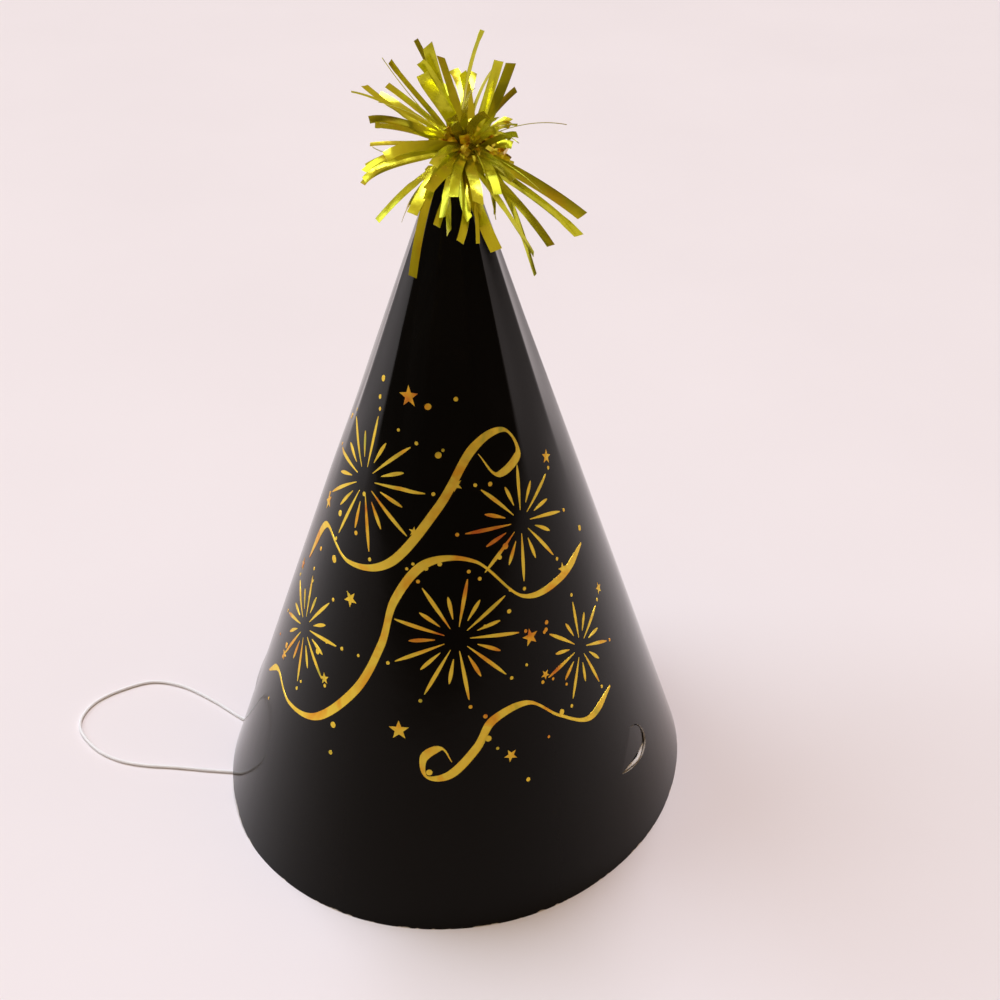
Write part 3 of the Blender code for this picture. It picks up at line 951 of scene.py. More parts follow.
@dataclass
class FoilPrint:
    """Hot-stamped gold decoration: fireworks, streamers and stars, worked flat and rolled up."""

    form: ConeForm
    bursts: tuple[Burst, ...] = (
        Burst(-12.0, 101.0, 15.0, 18, 4),
        Burst(25.0, 96.0, 13.0, 16, 9),
        Burst(-27.0, 62.0, 12.5, 16, 2),
        Burst(13.0, 70.0, 14.0, 18, 7),
        Burst(46.0, 66.0, 11.5, 14, 3),
    )
    streamers: tuple = (
        ((-32.5, 77.0), (-25.0, 87.0), (-14.0, 82.0), (-3.0, 85.0), (6.0, 99.0), (12.0, 112.5),
         (19.0, 116.0), (23.0, 111.0), (18.0, 106.5), (13.0, 111.0)),
        ((-46.0, 44.5), (-38.0, 47.5), (-29.0, 43.0), (-18.0, 44.0), (-8.0, 54.0), (-3.0, 66.0),
         (-1.0, 77.0), (5.0, 86.5), (15.0, 87.5), (27.0, 79.5), (38.0, 82.5), (47.0, 90.0)),
        ((58.5, 55.5), (50.0, 49.0), (40.0, 51.0), (31.0, 55.0), (23.0, 51.5), (20.0, 45.0),
         (15.0, 38.5), (10.0, 37.5), (9.0, 42.0), (12.5, 44.5), (15.0, 41.5)),
    )
    stars: tuple = (
        (-3.0, 121.5, 2.4, 10), (9.0, 104.0, 1.5, 30), (33.0, 110.0, 1.7, 0), (-27.0, 92.0, 2.0, 24),
        (39.0, 84.5, 1.6, 12), (-37.0, 74.0, 1.5, 5), (-12.0, 74.0, 1.9, 40), (30.0, 70.0, 2.1, 18),
        (3.0, 47.5, 2.3, 8), (28.0, 43.0, 1.6, 33), (-17.0, 53.5, 1.4, 15), (-36.0, 52.0, 1.3, 50),
        (55.0, 79.0, 1.5, 20), (1.5, 93.0, 1.1, 0), (35.0, 61.0, 1.2, 44),
    )
    specks: int = 46
    foil: float = 0.00005
    keyed: float = -0.00003
    hairline: float = 0.55
    broad: float = 2.0
    nib: float = math.radians(-38)
    nib_contrast: float = 2.2
    line_step: float = 0.7
    taper: int = 8
    tip_width: float = 0.25
    long_ray: tuple[float, float] = (1.0, 0.20)
    short_ray: tuple[float, float] = (0.72, 0.33)
    ray_step: float = 0.9
    ray_droop: float = 0.03
    ray_end: float = 0.995
    ray_fullness: float = 0.8
    ray_root: float = 0.35
    ray_tip: float = 0.16
    ray_belly: float = 0.95
    least_steps: int = 5
    bead_gap: float = 1.7
    bead: float = 0.42
    star_notch: float = 0.42
    seed: int = 11
    speck_middle: float = 9
    speck_spread: float = 58
    speck_narrowing: float = 0.30
    speck_rows: tuple[int, int] = (36, 124)
    speck_columns: tuple[int, int] = (-48, 60)
    speck_sizes: tuple[float, ...] = (0.35, 0.5, 0.7)

    def ribbon(self, line: list[tuple[float, float]], widths: list[float],
               name: str) -> bpy.types.Object:
        """A flat strip of foil along a line.

        Args:
            line: Its middle line on the flat card, in millimetres.
            widths: Its width at each point, in millimetres.
            name: The piece's name.

        Returns:
            The strip, still flat.
        """
        points: list[Vector] = []
        for number, (x, y) in enumerate(line):
            before, after = next_to(line, number)
            heading = Vector((after[0] - before[0], after[1] - before[1])).normalized()
            half = widths[number] / 2
            for away in (-half, half):
                across, along = (x - heading.y * away) * MM, (y + heading.x * away) * MM
                points += [Vector((across, along, depth)) for depth in (self.keyed, self.foil)]
        faces: list[tuple] = [(0, 1, 3, 2)]
        for number in range(len(line) - 1):
            a = 4 * number
            for one, two in ((0, 1), (1, 3), (3, 2), (2, 0)):
                faces.append((a + one, a + two, a + 4 + two, a + 4 + one))
        last = 4 * (len(line) - 1)
        faces.append((last, last + 2, last + 3, last + 1))
        return mesh_piece(name, points, faces)

    def streamer(self, route: tuple, number: int) -> bpy.types.Object:
        """A curling streamer, thick and thin as from a broad nib."""
        line = [(p.x, p.y) for p in smooth_route([Vector((x, y, 0)) for x, y in route], self.line_step)]
        widths = []
        for place_on, (x, y) in enumerate(line):
            before, after = next_to(line, place_on)
            heading = math.atan2(after[1] - before[1], after[0] - before[0])
            swell = abs(math.sin(heading - self.nib)) ** self.nib_contrast
            ends = min(1.0, place_on / self.taper, (len(line) - 1 - place_on) / self.taper)
            full = self.hairline + (self.broad - self.hairline) * swell
            widths.append(full * (self.tip_width + (1 - self.tip_width) * ends))
        return self.ribbon(line, widths, f"streamer_{number}")

    def firework(self, burst: Burst, number: int) -> bpy.types.Object:
        """A burst of tapering rays, long and short by turns, each with a bead beyond it."""
        made = []
        for ray in range(burst.rays):
            angle = math.radians(burst.tilt) + 2 * math.pi * ray / burst.rays
            outer, inner = self.short_ray if ray % 2 else self.long_ray
            long, start = burst.reach * outer, burst.reach * inner
            steps = max(self.least_steps, round(long / self.ray_step))
            line, widths = [], []
            for step in range(steps + 1):
                share = step / steps
                reach = start + (long - start) * share
                droop = self.ray_droop * share**2 * long
                x, y = burst.x + math.cos(angle) * reach, burst.y + math.sin(angle) * reach
                line.append((x, y - droop))
                belly = math.sin(math.pi * min(share, self.ray_end)) ** self.ray_fullness
                swell = self.ray_root + (1 - self.ray_root) * share
                widths.append(self.ray_tip + self.ray_belly * belly * swell)
            made.append(self.ribbon(line, widths, "ray"))
            if ray % 2 == 0:
                x = burst.x + math.cos(angle) * (long + self.bead_gap)
                y = burst.y + math.sin(angle) * (long + self.bead_gap) - self.ray_droop * long
                made.append(self.dot(x, y, self.bead))
        return join(made, f"firework_{number}")

    def raise_foil(self, piece: bpy.types.Object) -> bpy.types.Object:
        """Give a flat outline the foil's thickness."""
        bpy.ops.object.mode_set(mode="EDIT")
        bpy.ops.mesh.select_all(action="SELECT")
        bpy.ops.mesh.extrude_region_move(
            TRANSFORM_OT_translate={"value": (0, 0, self.foil - self.keyed)}
        )
        face_out(piece)
        settle(piece)
        return piece

    def dot(self, x: float, y: float, radius: float) -> bpy.types.Object:
        """A round speck of foil."""
        deselect_all()
        bpy.ops.mesh.primitive_circle_add(
            vertices=12, radius=radius * MM, fill_type="NGON", location=(x * MM, y * MM, self.keyed)
        )
        return self.raise_foil(bpy.context.object)

    def star(self, x: float, y: float, radius: float, tilt: float) -> bpy.types.Object:
        """A five-pointed star."""
        deselect_all()
        bpy.ops.mesh.primitive_circle_add(
            vertices=10, radius=radius * MM, fill_type="TRIFAN", location=(x * MM, y * MM, self.keyed),
            rotation=(0, 0, math.radians(tilt)),
        )
        piece = bpy.context.object
        rim = [vertex for vertex in piece.data.vertices if vertex.co.length > 0.5 * radius * MM]
        for number, vertex in enumerate(rim):
            if number % 2:
                vertex.co *= self.star_notch
        return self.raise_foil(piece)

    def build(self, finish: bpy.types.Material) -> None:
        """Build every piece of the print, and roll it onto the card."""
        rng = random.Random(self.seed)
        groups = {
            "foil_fireworks": [self.firework(burst, n) for n, burst in enumerate(self.bursts, 1)],
            "foil_streamers": [self.streamer(route, n) for n, route in enumerate(self.streamers, 1)],
            "foil_stars": [self.star(*star) for star in self.stars],
        }
        left, right = self.speck_columns
        for _ in range(self.specks):
            lean_x = rng.uniform(-1, 1)
            y = rng.uniform(*self.speck_rows)
            spread = self.speck_spread - self.speck_narrowing * (y - self.speck_rows[0])
            x = self.speck_middle + lean_x * spread
            if left < x < right:
                groups["foil_stars"].append(self.dot(x, y, rng.choice(self.speck_sizes)))
        for name, made in groups.items():
            piece = join(made, name)
            self.form.roll_up(piece)
            dress(piece, finish)
            shade(piece, CARD_CREASE)
            place(piece, Body.CONE, Slot.FOIL)


# ---------------------------------------------------------------- the elastic


@dataclass
class ChinElastic:
    """The covered elastic: one cord whose ends are tied round the two flaps."""

    form: ConeForm
    radius: float = 0.0004
    table: float = 0.00045
    step: float = 0.0012
    sides: int = 10
    knot_scale: float = 0.00026
    knot_steps: int = 44
    knot_start: float = 0.35
    knot_gap: float = 0.30
    knot_rise: float = 1.25
    knot_sides: int = 8
    knot_slim: float = 0.82
    tail_slim: float = 0.88
    tail_step: float = 0.0004
    tail_tuck: float = 0.25
    tail_bow: float = 0.0002
    eye_step: float = 0.0005
    tails: tuple = ((0.55, 2.3), (-0.7, 1.9))
    knot: tuple[float, float, float] = (0.0005, 0.0126, -0.0019)
    eye: tuple = (
        (0.0018, 0.0139, -0.0016), (0.0052, 0.0166, -0.0013), (0.0066, 0.0186, -0.00120),
        (0.0056, 0.0193, -0.00085), (0.0010, 0.0192, -0.00015), (-0.0036, 0.0193, -0.0008),
        (-0.0052, 0.0188, -0.00120), (-0.0040, 0.0164, -0.0013), (-0.0008, 0.0139, -0.0016),
    )
    down_left: tuple = (
        (-0.0503, -0.0106, 0.0094), (-0.0506, -0.0105, 0.0060), (-0.0515, -0.0102, 0.0022),
        (-0.0540, -0.0099, 0.0006),
    )
    on_table: tuple = (
        (-0.0572, -0.0096), (-0.0678, -0.0056), (-0.0784, -0.0030), (-0.0870, -0.0041),
        (-0.0932, -0.0098), (-0.0969, -0.0158), (-0.0976, -0.0215), (-0.0961, -0.0262),
        (-0.0922, -0.0300), (-0.0860, -0.0333), (-0.0792, -0.0346), (-0.0725, -0.0340),
        (-0.0651, -0.0322), (-0.0573, -0.0306), (-0.0505, -0.0290), (-0.0425, -0.0266),
        (-0.0320, -0.0205), (-0.0200, -0.0150), (-0.0080, -0.0170), (0.0040, -0.0250),
        (0.0170, -0.0310), (0.0300, -0.0290),
    )
    up_right: tuple = (
        (0.0405, -0.0205, 0.0006), (0.0472, -0.0118, 0.0024), (0.0498, -0.0107, 0.0058),
        (0.0503, -0.0106, 0.0094),
    )

    def route(self) -> list[Vector]:
        """The cord's middle line from the left knot to the right one."""
        flat = [Vector((x, y, self.table)) for x, y in self.on_table]
        return [Vector(p) for p in self.down_left] + flat + [Vector(p) for p in self.up_right]

    def tied_knot(self, side: int, word: str) -> bpy.types.Object:
        """A tight overhand knot with its two short tails."""
        centre = self.form.slot_point(side, *self.knot)
        outward = self.form.outward(side * self.form.slot_angle)
        across = outward.cross(UP).normalized()
        upright = across.cross(outward)
        line = []
        for number in range(self.knot_steps + 1):
            a = self.knot_start + (2 * math.pi - self.knot_gap) * number / self.knot_steps
            x = math.sin(a) + 2 * math.sin(2 * a)
            y = math.cos(a) - 2 * math.cos(2 * a)
            z = -self.knot_rise * math.sin(3 * a)
            line.append(centre + (across * x + upright * y + outward * z) * self.knot_scale)
        made = [tube("turns", line, self.radius * self.knot_slim, self.knot_sides)]
        for lean, reach in self.tails:
            end = centre + (across * lean - upright * reach - outward * self.tail_tuck) * MM
            middle = centre.lerp(end, 0.55) + outward * self.tail_bow
            route = smooth_route([centre, middle, end], self.tail_step)
            made.append(tube("tail", route, self.radius * self.tail_slim, self.knot_sides))
        return join(made, word + "_elastic_overhand_knot")

    def build(self, finish: bpy.types.Material) -> None:
        """Build the cord, its two eyes and its two knots."""
        line = smooth_route(self.route(), self.step)
        cord = tube("chin_elastic", line, self.radius, self.sides)
        dress(cord, finish)
        place(cord, Body.CONE, Slot.ELASTIC, "elastic_cord")
        for side, word in ((1, "right"), (-1, "left")):
            loop = smooth_route([self.form.slot_point(side, *p) for p in self.eye], self.eye_step)
            eye = tube(word + "_elastic_loop", loop, self.radius, self.sides)
            knot = self.tied_knot(side, word)
            for piece, node in ((eye, word + "_elastic_eye"), (knot, word + "_elastic_knot")):
                dress(piece, finish)
                place(piece, Body.CONE, Slot.ELASTIC, node)
        length = sum((b - a).length for a, b in zip(line, line[1:]))
        LOG.info("chin_elastic: %.1f mm between its knots", length / MM)
        tuple(line[0])
        [tuple(p) for p in line]


# ---------------------------------------------------------------- the pom-pom


@dataclass(frozen=True)
class Strip:
    """One tinsel strip as seen from the camera side: where its end lies (mm), and how it is turned."""

    right: float
    up: float
    near: float
    width: float
    face: float
    twist: float
    sag: float


STRIPS = tuple(Strip(*row) for row in (
    (2.9, 23.2, 6.0, 1.3, 68, 15, 0.0), (-10.3, 20.7, 8.0, 1.4, 8, 20, 0.0),
    (-7.9, 19.0, 10.0, 2.3, 30, -20, 0.03), (-5.5, 18.4, 4.0, 1.8, 5, 15, 0.0),
    (-1.2, 16.6, -1.0, 1.7, 0, 10, 0.0), (4.9, 19.0, -8.0, 1.1, 20, 30, 0.0),
    (8.6, 16.6, 6.0, 2.0, 0, 12, 0.0), (6.2, 15.7, 11.0, 1.9, -10, 10, 0.0),
    (9.7, 14.4, -6.0, 1.3, 40, 10, 0.0), (-15.7, 17.5, 4.0, 1.2, 0, 20, 0.0),
    (-16.7, 14.3, -2.0, 1.3, 35, -30, 0.03), (-21.5, 14.7, -4.0, 1.5, 45, -10, 0.0),
    (-18.7, 14.0, -8.0, 1.7, 50, -20, 0.0), (-23.5, 11.4, 4.0, 0.8, 10, 40, 0.03),
    (-19.4, 4.3, 10.0, 1.5, 0, 20, 0.06), (-20.4, 3.4, -10.0, 1.3, 55, 20, -0.2),
    (-19.4, -0.1, 8.0, 1.3, 15, 30, 0.0), (-21.1, -4.2, 2.0, 1.4, 0, 25, 0.19),
    (-20.6, -7.2, 8.0, 1.9, 5, 15, 0.07), (-15.9, -3.9, 14.0, 2.3, -5, 10, 0.06),
    (-17.8, -15.6, 10.0, 2.1, 10, 25, 0.14), (-11.1, -7.4, -14.0, 1.6, 40, 20, 0.06),
    (-13.3, -14.8, 4.0, 1.3, 30, 60, 0.06), (-10.7, -15.0, 14.0, 2.3, 35, -15, 0.11),
    (-10.7, -27.0, 12.5, 1.7, 0, 18, 0.45), (-4.8, -15.8, 15.0, 1.9, 10, 30, 0.11),
    (-3.5, -18.6, 14.0, 1.7, 25, 25, 0.11), (-1.4, -20.4, 13.5, 1.6, 0, 10, 0.11),
    (2.1, -20.6, 13.0, 0.8, 0, 10, 0.11), (5.7, -21.9, 13.0, 2.4, 0, 8, 0.11),
    (13.5, -25.6, 5.0, 1.5, 10, 40, 0.07), (13.1, -22.1, 9.0, 1.4, 20, 40, 0.08),
    (16.6, -19.9, 6.0, 1.7, 5, 30, 0.06), (22.4, -17.2, 2.0, 2.0, 25, 15, 0.04),
    (22.8, -14.3, 8.0, 2.2, 0, 10, 0.07), (9.8, 0.9, 12.0, 1.2, 10, 10, 0.06),
    (6.0, 1.3, 14.0, 1.4, 0, 35, 0.06), (5.3, -11.9, -4.0, 1.1, 30, 70, 0.17),
    (-18.1, 2.8, 12.0, 1.4, 5, 20, 0.06), (-6.5, -6.0, 16.0, 2.1, 20, 30, 0.11),
    (-3.6, 12.5, -4.0, 1.5, 50, 20, 0.0), (-8.8, 12.5, 13.0, 2.5, -15, 10, 0.03),
    (1.0, 9.0, 15.0, 1.8, 20, 50, 0.06), (-7.5, -10.5, 15.0, 2.2, 15, 25, 0.11),
    (-2.5, -12.0, 16.0, 2.0, -20, 30, 0.11), (2.2, -13.0, 15.0, 2.2, 12, -30, 0.11),
    (6.0, -11.0, 13.0, 1.8, -25, 30, 0.11), (-10.0, -12.0, 9.0, 1.9, 30, 25, 0.11),
    (0.5, -16.0, 14.0, 1.5, 35, -25, 0.11), (-6.0, -17.0, 12.0, 1.5, -30, 45, 0.11),
    (4.0, 4.0, 15.0, 2.0, 30, 50, 0.06), (-3.0, 3.5, 16.0, 2.2, -30, 50, 0.06),
    (9.0, -8.0, 12.0, 1.8, 30, 40, 0.06),
))


@dataclass
class TinselPom:
    """The tinsel bundle, crushed at its waist; the wire that ties it down is built by TieWire."""

    middle: Vector
    form: ConeForm
    to_right: Vector
    to_up: Vector
    to_near: Vector
    tuft_rings: tuple = ((1, 86, 0), (5, 48, 20), (7, 8, 0), (6, -32, 25))
    drift: tuple[float, float] = (0.0004, -0.0008)
    film: float = 0.00006
    steps: int = 18
    clear: float = 0.0016
    highest: float = 0.1935
    tip_share: float = 0.075
    loose: float = 0.38
    root_gap: float = 0.0008
    waist_length: float = 2.4
    stiff_bow: float = 0.016
    soft_bow: float = 0.05
    core: tuple[float, ...] = (3.5, 2.6, 2.6)
    scraps: int = 150
    scrap_cloud: tuple[float, ...] = (5.4, 3.0, 2.8)
    threads: tuple = (
        (20.0, 2.8, 9.0, 0.14), (-16.5, 16.0, 9.0, -0.1), (6.0, -16.5, 12.0, 0.3),
        (10.5, -2.0, 14.0, 0.2), (-17.0, 6.5, 12.0, 0.1), (15.0, -11.0, 12.0, 0.1),
    )
    thread_radius: float = 0.00009
    thread_sides: int = 5
    thread_bends: tuple[float, float] = (0.33, 0.7)
    thread_points: int = 24
    bunch_seed: int = 7
    waist_seed: int = 23
    tip_margin: float = 0.001
    bends_at: tuple[float, float] = (0.34, 0.70)
    lifts: tuple[float, float] = (0.8, 0.9)
    bow_back: float = 0.6
    kink_span: tuple[float, float] = (0.2, 0.9)
    trough: tuple[float, float] = (0.05, 0.30)
    slant: float = 0.25
    edge_on: float = 0.15
    root_width: float = 0.55
    widening: float = 3.2
    kinks: int = 3
    kink_most: float = 16
    least_seen: int = 2
    least_behind: int = 4
    filler_reach: tuple[float, float] = (17.0, 26.5)
    filler_width: tuple[float, float] = (1.1, 2.2)
    filler_face: float = 60
    filler_twist: float = 50
    filler_sag: float = 0.14
    filler_low: float = 0.52
    filler_short: float = 0.55
    bare_from: tuple[float, float] = (5, -7)
    core_dents: tuple[float, float] = (3.1, 5.0)
    scrap_out: tuple[float, float] = (0.75, 1.25)
    scrap_half: tuple[float, float] = (0.45, 1.0)
    scrap_step: tuple[float, float] = (0.7, 1.5)
    scrap_lean: float = 0.8
    scrap_bends: int = 4
    scrap_turn: float = 1.1

    def toward(self, right: float, up: float, near: float) -> Vector:
        """A way given by its parts to the right, up and near, as the camera sees them."""
        return self.to_right * right + self.to_up * up + self.to_near * near

    def tuft_ways(self) -> list[Vector]:
        """The direction of every CAD tuft, in the order of their numbers."""
        ways = []
        for count, height, first in self.tuft_rings:
            for index in range(count):
                around = math.radians(first) + 2 * math.pi * index / count
                flat = math.cos(math.radians(height))
                ways.append(Vector((math.sin(around) * flat, -math.cos(around) * flat,
                                    math.sin(math.radians(height)))))
        return ways

    def hold_off(self, point: Vector) -> Vector:
        """Keep a point outside the card and under the top of the box."""
        reach = math.hypot(point.x, point.y)
        turn = math.atan2(point.x, -point.y)
        card = self.form.rim_radius(turn) * max(0.0, self.form.apex - point.z) / self.form.apex
        wanted = max(card, self.form.base_radius * self.tip_share) + self.clear
        low = point.z < self.form.tip_height + self.tip_margin
        if low and reach < wanted:
            scale = wanted / max(reach, 1e-6)
            point = Vector((point.x * scale, point.y * scale, point.z))
        return Vector((point.x, point.y, min(point.z, self.highest)))

    def strip(self, shape: Strip, rng: random.Random, name: str) -> bpy.types.Object:
        """One strip of film from the waist to its end."""
        end_way = self.toward(shape.right, shape.up, shape.near) * MM
        length = end_way.length
        way = end_way.normalized()
        shake = Vector((rng.uniform(-1, 1) * self.waist_length, rng.uniform(-1, 1), rng.uniform(-1, 1)))
        root = self.middle + way * self.root_gap + shake * MM
        end = self.middle + end_way + self.to_right * self.drift[0] + self.to_up * self.drift[1]
        lift = UP * (shape.sag * length)
        stiff = self.stiff_bow if shape.sag == 0 else self.soft_bow
        bow = even_draws(rng) * length * stiff
        one = root + way * length * self.bends_at[0] + lift * self.lifts[0] + bow
        two = root + way * length * self.bends_at[1] + lift * self.lifts[1] - bow * self.bow_back
        line = [self.hold_off(p) for p in interpolate_bezier(root, one, two, end, self.steps + 1)]
        points: list[Vector] = []
        faces: list[tuple] = []
        uvs: list[tuple] = []
        kinks = [rng.uniform(*self.kink_span) for _ in range(self.kinks)]
        kink_angles = [math.radians(rng.uniform(-self.kink_most, self.kink_most))
                       for _ in range(self.kinks)]
        trough = rng.uniform(*self.trough) * rng.choice((-1, 1))
        slant = rng.uniform(-self.slant, self.slant)
        for number, centre in enumerate(line):
            share = number / self.steps
            before, after = next_to(line, number)
            heading = (after - before).normalized()
            flat = heading.cross(self.to_near)
            if flat.length < self.edge_on:
                flat = heading.cross(self.to_up)
            flat.normalize()
            angle = math.radians(shape.face + shape.twist * share)
            angle += sum(a for k, a in zip(kinks, kink_angles) if share > k)
            across = Matrix.Rotation(angle, 3, heading) @ flat
            normal = heading.cross(across).normalized()
            wide = self.root_width + (1 - self.root_width) * ease(share * self.widening)
            half = shape.width * MM / 2 * wide
            crease = normal * half * trough * (1 - 0.5 * share)
            cut = heading * (slant * half * 2 if number == self.steps else 0.0)
            points += [centre - across * half - cut, centre + crease, centre + across * half + cut]
        for number in range(self.steps):
            for part in range(2):
                a = 3 * number + part
                faces.append((a, a + 1, a + 4, a + 3))
                for row, side in ((0, 0), (0, 1), (1, 1), (1, 0)):
                    uvs.append(((number + row) / self.steps, (part + side) / 2))
        piece = mesh_piece(name, points, faces, uvs)
        thicken(piece, self.film)
        return piece

    def filler(self, way: Vector, rng: random.Random) -> Strip:
        """A strip of chance shape near one tuft's direction."""
        loose = even_draws(rng) * self.loose
        aim = (way + loose).normalized() * rng.uniform(*self.filler_reach)
        aim.z = max(aim.z, -self.filler_low * aim.length)
        bare_right, bare_up = self.bare_from
        if aim.dot(self.to_right) > bare_right and aim.dot(self.to_up) > bare_up:
            aim *= self.filler_short
        return Strip(aim.dot(self.to_right), aim.dot(self.to_up), aim.dot(self.to_near),
                     rng.uniform(*self.filler_width), rng.uniform(-self.filler_face, self.filler_face),
                     rng.uniform(-self.filler_twist, self.filler_twist),
                     rng.uniform(0.0, self.filler_sag))

    def bunches(self, finish: bpy.types.Material) -> None:
        """Every strip, gathered into one bunch for each CAD tuft."""
        rng = random.Random(self.bunch_seed)
        ways = self.tuft_ways()
        shares: list[list[Strip]] = [[] for _ in ways]
        for shape in STRIPS:
            aim = self.toward(shape.right, shape.up, shape.near).normalized()
            shares[max(range(len(ways)), key=lambda n: ways[n].dot(aim))].append(shape)
        for number, (way, own) in enumerate(zip(ways, shares), 1):
            least = self.least_behind if way.dot(self.to_near) < 0.0 else self.least_seen
            while len(own) < least:
                own.append(self.filler(way, rng))
            made = [self.strip(shape, rng, "strip") for shape in own]
            bunch = join(made, f"tinsel_bunch_{number:02d}")
            dress(bunch, finish)
            shade(bunch, STRIP_CREASE)
            place(bunch, Body.POM_POM, Slot.TINSEL, f"tinsel_tuft_{number:02d}")

    def waist(self, finish: bpy.types.Material) -> None:
        """The crushed middle: a crumpled core with torn, folded scraps standing off it."""
        rng = random.Random(self.waist_seed)
        deselect_all()
        bpy.ops.mesh.primitive_ico_sphere_add(subdivisions=4, radius=1.0)
        core = bpy.context.object
        broad, fine = self.core_dents
        for vertex in core.data.vertices:
            way = vertex.co.normalized()
            dents = noise.cell(way * broad) + 0.6 * noise.noise(way * fine)
            size = Vector(self.core) * MM * (0.86 + 0.16 * dents)
            vertex.co = self.middle + way * size
        core.data.update()
        scraps = [core]
        for _ in range(self.scraps):
            way = ball_draws(rng).normalized()
            out = rng.uniform(*self.scrap_out)
            start = self.middle + way * Vector(self.scrap_cloud) * MM * out
            across = way.cross(ball_draws(rng)).normalized()
            half = rng.uniform(*self.scrap_half) * MM
            points = []
            lean = rng.uniform(-self.scrap_lean, self.scrap_lean)
            heading = (way + across.cross(way) * lean).normalized()
            for _ in range(self.scrap_bends):
                points += [start - across * half, start + across * half]
                start = start + heading * rng.uniform(*self.scrap_step) * MM
                turn = rng.uniform(-self.scrap_turn, self.scrap_turn)
                heading = (Matrix.Rotation(turn, 3, across) @ heading).normalized()
            faces = [(2 * b, 2 * b + 1, 2 * b + 3, 2 * b + 2) for b in range(self.scrap_bends - 1)]
            scrap = mesh_piece("scrap", points, faces)
            thicken(scrap, self.film)
            scraps.append(scrap)
        piece = join(scraps, "tinsel_crushed_waist")
        dress(piece, finish)
        shade(piece, SCRAP_CREASE)
        place(piece, Body.POM_POM, Slot.TINSEL, "tinsel_waist")

    def hairs(self, finish: bpy.types.Material) -> None:
        """A few slit threads of film, fine as hair."""
        made = []
        for right, up, near, sag in self.threads:
            end_way = self.toward(right, up, near) * MM
            end = self.middle + end_way
            lift = UP * sag * end_way.length
            first, second = self.thread_bends
            one = self.middle + end_way * first + lift
            two = self.middle + end_way * second + lift * self.lifts[1]
            curve = interpolate_bezier(self.middle, one, two, end, self.thread_points)
            line = [self.hold_off(point) for point in curve]
            made.append(tube("hair", line, self.thread_radius, self.thread_sides))
        piece = join(made, "tinsel_slit_threads")
        dress(piece, finish)
        place(piece, Body.POM_POM, Slot.TINSEL)


@dataclass
class TieWire:
    """The soft wire round the tinsel's waist, its legs twisted, passed through the tip and spread."""

    middle: Vector
    radius: float = 0.00025
    loop_radius: float = 0.0027
    twist_radius: float = 0.00042
    twist_turns: int = 3
    twist_steps: int = 30
    top: Vector = Vector((0.0006, -0.0002, 0.1592))
    low: Vector = Vector((0.0, 0.0, 0.1512))
    tail_reach: float = 0.0034
    tail_drop: float = 0.0009
    tail_bend: float = 0.0010
    loop_steps: int = 40
    loop_gap: float = math.radians(24)
    loop_spread: float = 0.0008
    step: float = 0.0002
    sides: int = 8

    def leg(self, phase: float) -> list[Vector]:
        """One leg of the twisted pair, from the bottom up."""
        points = []
        count = self.twist_turns * self.twist_steps
        for index in range(count + 1):
            turn = phase + 2 * math.pi * self.twist_turns * index / count
            centre = self.low.lerp(self.top, index / count)
            points.append(centre + Vector((math.cos(turn), math.sin(turn), 0)) * self.twist_radius)
        return points

    def build(self, finish: bpy.types.Material) -> None:
        """Build the wire in one length."""
        first, second = self.leg(0), self.leg(math.pi)
        loop = []
        for index in range(self.loop_steps + 1):
            share = index / self.loop_steps
            turn = -math.pi / 2 + self.loop_gap + (2 * math.pi - 2 * self.loop_gap) * share
            spread = (share - 0.5) * self.loop_spread
            loop.append(self.middle + Vector((-spread, math.cos(turn) * self.loop_radius,
                                              math.sin(turn) * self.loop_radius)))
        drop = Vector((0, 0, -self.tail_drop))
        tails = [
            [first[0] + drop + Vector((reach, 0, 0)) for reach in (self.tail_reach, self.tail_bend)],
            [second[0] + drop - Vector((reach, 0, 0)) for reach in (self.tail_bend, self.tail_reach)],
        ]
        path = tails[0] + first + loop + second[::-1] + tails[1]
        wire = tube("twisted_tie_wire", smooth_route(path, self.step), self.radius, self.sides)
        dress(wire, finish)
        place(wire, Body.WIRE, Slot.WIRE, "tie_wire")


# ---------------------------------------------------------------- the studio


